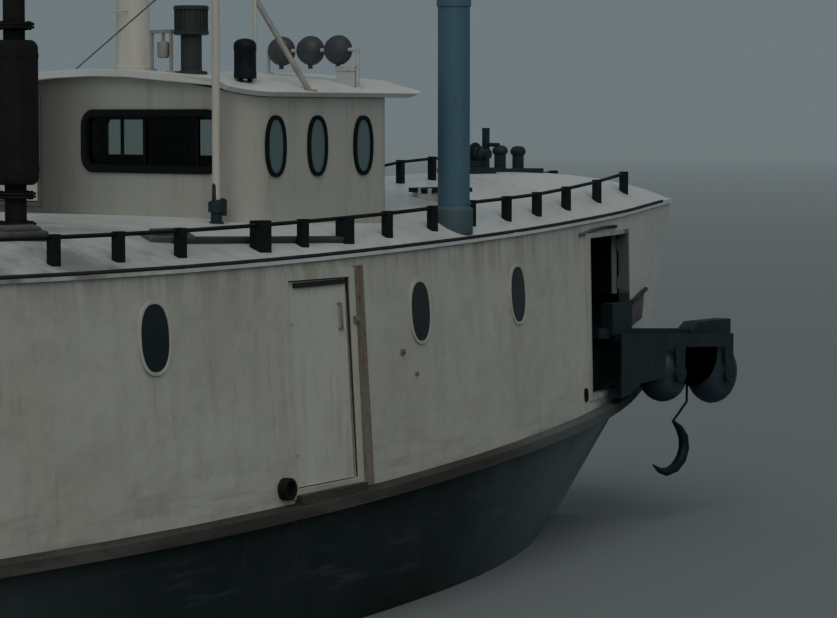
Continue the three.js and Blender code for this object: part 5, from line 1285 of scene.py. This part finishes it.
def makeBitts():
    bm = copyOfNode("foredeck_bitts")
    plateTop = topAt(deckSkin, bitts["xs"][0], bitts["y"]) + 0.034
    cut = bmesh.ops.bisect_plane(
        bm, geom=bm.verts[:] + bm.edges[:] + bm.faces[:], plane_co=(0, 0, plateTop), plane_no=(0, 0, 1),
        clear_outer=True,
    )["geom_cut"]
    bmesh.ops.contextual_create(bm, geom=[edge for edge in cut if isinstance(edge, bmesh.types.BMEdge)])
    for x in bitts["xs"]:
        base = topAt(deckSkin, x, bitts["y"])
        radius, head, height = bitts["radius"], bitts["head"], bitts["height"]
        addTurned(bm, [
            (0, 0.01), (radius + 0.012, 0.01), (radius + 0.008, 0.040), (radius, 0.046),
            (radius, height - 0.045), (head - 0.012, height - 0.042), (head, height - 0.020), (head, height),
            (head - 0.008, height + 0.018), (head * 0.7, height + 0.036), (head * 0.3, height + 0.045),
            (0, height + 0.046),
        ], (x, bitts["y"], base), sides=36)
    finishPiece(
        "foredeck_bitts_shape", bm, "blackPaint", replaced=("foredeck_bitts",), smooth=36,
    )


def makePipes():
    remake("deck_pipe", "pipePaint", 60)
    remake("side_outlet", "rustySteel", 50, bevel=0.006)


# Net rollers and hook

roller = {
    "bodies": (
        ("bow_roller_aft", "roller_aft", 7.66, 1.524, 0.300),
        ("bow_roller_fore", "roller_fore", 8.57, 1.461, 0.325),
    ),
    "y": -1.15, "half": 0.170, "bore": 0.036, "hub": 0.095, "hubOut": 0.020,
    "crown": (
        (0.62, 1.0), (0.655, 0.985), (0.74, 0.91), (0.83, 0.77), (0.91, 0.57), (0.97, 0.32), (1.0, 0.05),
    ),
}


def makeRollers():
    half, hub, bore = roller["half"], roller["hub"], roller["bore"]
    out = half + roller["hubOut"]
    for node, body, x, z, radius in roller["bodies"]:
        crown = [(radius * size, half * along) for size, along in roller["crown"]]
        profile = [
            (bore, -out), (hub - 0.004, -out), (hub, -out + 0.004), (hub, -half - 0.004),
            (hub + 0.006, -half), *[(size, -along) for size, along in crown], *reversed(crown),
            (hub + 0.006, half), (hub, half + 0.004), (hub, out - 0.004), (hub - 0.004, out), (bore, out),
            (bore, -out),
        ]
        bm = bmesh.new()
        addTurned(bm, profile, (x, roller["y"], z), axis=(0, 1, 0), sides=72)
        finishPiece(
            f"{node}_shape", bm, "rollerRubber", body=body, replaced=(node,), smooth=36,
        )


def makeHook():
    bm = copyOfNode("pickup_hook", flat=0)
    finishPiece("pickup_hook_shape", bm, "hookPaint", replaced=("pickup_hook",), smooth=80)


# Plates beside the rollers, hung from the arm
rollerGuard = {
    "outline": (
        (7.76, 1.86), (8.36, 1.86), (8.36, 1.60), (8.24, 1.455), (8.08, 1.39), (7.90, 1.365), (7.80, 1.385),
        (7.76, 1.52),
    ),
    "out": 0.195, "thick": 0.012, "bolts": ((7.86, 1.79), (8.26, 1.79), (8.06, 1.79)),
}


def makeRollerGuard():
    bm = bmesh.new()
    out = rollerGuard["out"]
    for hand in (-1, 1):
        y = roller["y"] + hand * out
        bm.faces.new([bm.verts.new((x, y, z)) for x, z in rollerGuard["outline"]])
    bmesh.ops.solidify(bm, geom=bm.faces[:], thickness=rollerGuard["thick"])
    bmesh.ops.recalc_face_normals(bm, faces=bm.faces[:])
    for x, z in rollerGuard["bolts"]:
        for hand in (-1, 1):
            y = roller["y"] + hand * out
            addRod(bm, (x, y - 0.018, z), (x, y + 0.018, z), 0.020, sides=6)
    finishPiece("bow_roller_guard", bm, "rollerPaint", bevel=0.003)


# Bow: eyebrow over the doorway, chafe plate ahead of it, small pipe mouth at the guard. The chafe plate's
# grey-mauve and the black bar along its top are partly painted shade under the plate's edge

bow = {
    "browFrom": (5.86, 2.975), "browTo": (7.00, 3.015), "browArch": 0.020, "browRadius": 0.016,
    "chafe": ((7.67, 1.97), (8.42, 2.01), (8.42, 2.29), (7.67, 2.22)),
    "bar": ((7.65, 2.215), (7.85, 2.24), (8.15, 2.265), (8.44, 2.30)), "barRadius": 0.022,
    "mouth": (5.885, 1.45), "mouthSize": (0.075, 0.13),
}


def onWall(hand, x, z, lift):
    start = Vector((x, hand * 9, z))
    spot, normal = wallSkins[hand].ray_cast(start, Vector((0, -hand, 0)))[:2]
    return spot + normal * lift


def makeBow():
    bm = bmesh.new()
    count = 8
    (x0, z0), (x1, z1) = bow["browFrom"], bow["browTo"]
    brow = []
    for i in range(count + 1):
        part = i / count
        z = z0 + (z1 - z0) * part + bow["browArch"] * math.sin(math.pi * part)
        brow.append(onWall(-1, x0 + (x1 - x0) * part, z, 0.012))
    addPipe(bm, brow, bow["browRadius"], sides=3)
    finishPiece("bow_door_brow", bm, "guardPaint", smooth=60)
    bm = bmesh.new()
    bmesh.ops.create_grid(bm, x_segments=10, y_segments=3, size=0.5)
    low, ahead, high, back = (Vector(corner) for corner in bow["chafe"])
    for vert in bm.verts:
        across, up = vert.co.x + 0.5, vert.co.y + 0.5
        spot = low.lerp(ahead, across).lerp(back.lerp(high, across), up)
        vert.co = onWall(-1, spot.x, spot.y, 0.010)
    bmesh.ops.solidify(bm, geom=bm.faces[:], thickness=0.010)
    bmesh.ops.recalc_face_normals(bm, faces=bm.faces[:])
    finishPiece("bow_chafe_plate", bm, "chafePaint", smooth=40, bevel=0.002)
    bm = bmesh.new()
    # Black bar along the top of the chafe plate: partly painted shade of the plate's edge
    addPipe(bm, [onWall(-1, x, z, 0.024) for x, z in bow["bar"]], bow["barRadius"], sides=3)
    finishPiece("bow_chafe_bar", bm, "blackPaint", smooth=60)
    bm = bmesh.new()
    place = wallPlace(-1, *bow["mouth"], reach=(0.05, 0.07))
    width, height = bow["mouthSize"]
    ring = addRing(bm, ovalOutline(bm, width, height, 32), 0.014, -0.002, 0.022)
    pane = addPane(bm, ovalOutline(bm, width - 0.02, height - 0.02, 32), 0.0, 0.006)
    bmesh.ops.transform(bm, matrix=place, verts=ring + pane)
    finishPiece("bow_pipe_mouth", bm, "windowRubber", smooth=40, bevel=0.003)


makeCamera()
makeStudio()
print("camera and floor done")
makePlates()
print("shells and plates done")
makePorts()
makeWindowRubbers()
makeBlind()
makeDoorTrim()
makeWallLugs()
makeEdgeBars()
print("ports, windows and trim done")
makeForemast()
makeRoofMast()
makeDeckPole()
makeThinPole()
makeWires()
print("masts and poles done")
makeSilencer()
makeVent()
makeBracket()
makeCanister()
makeLampRow()
makeRoofBox()
makeDeckBattens()
print("roof gear done")
makeDrum()
makeBitts()
makePipes()
print("foredeck gear done")
makeRollers()
makeRollerGuard()
makeHook()
makeBow()
print("rollers and bow done")
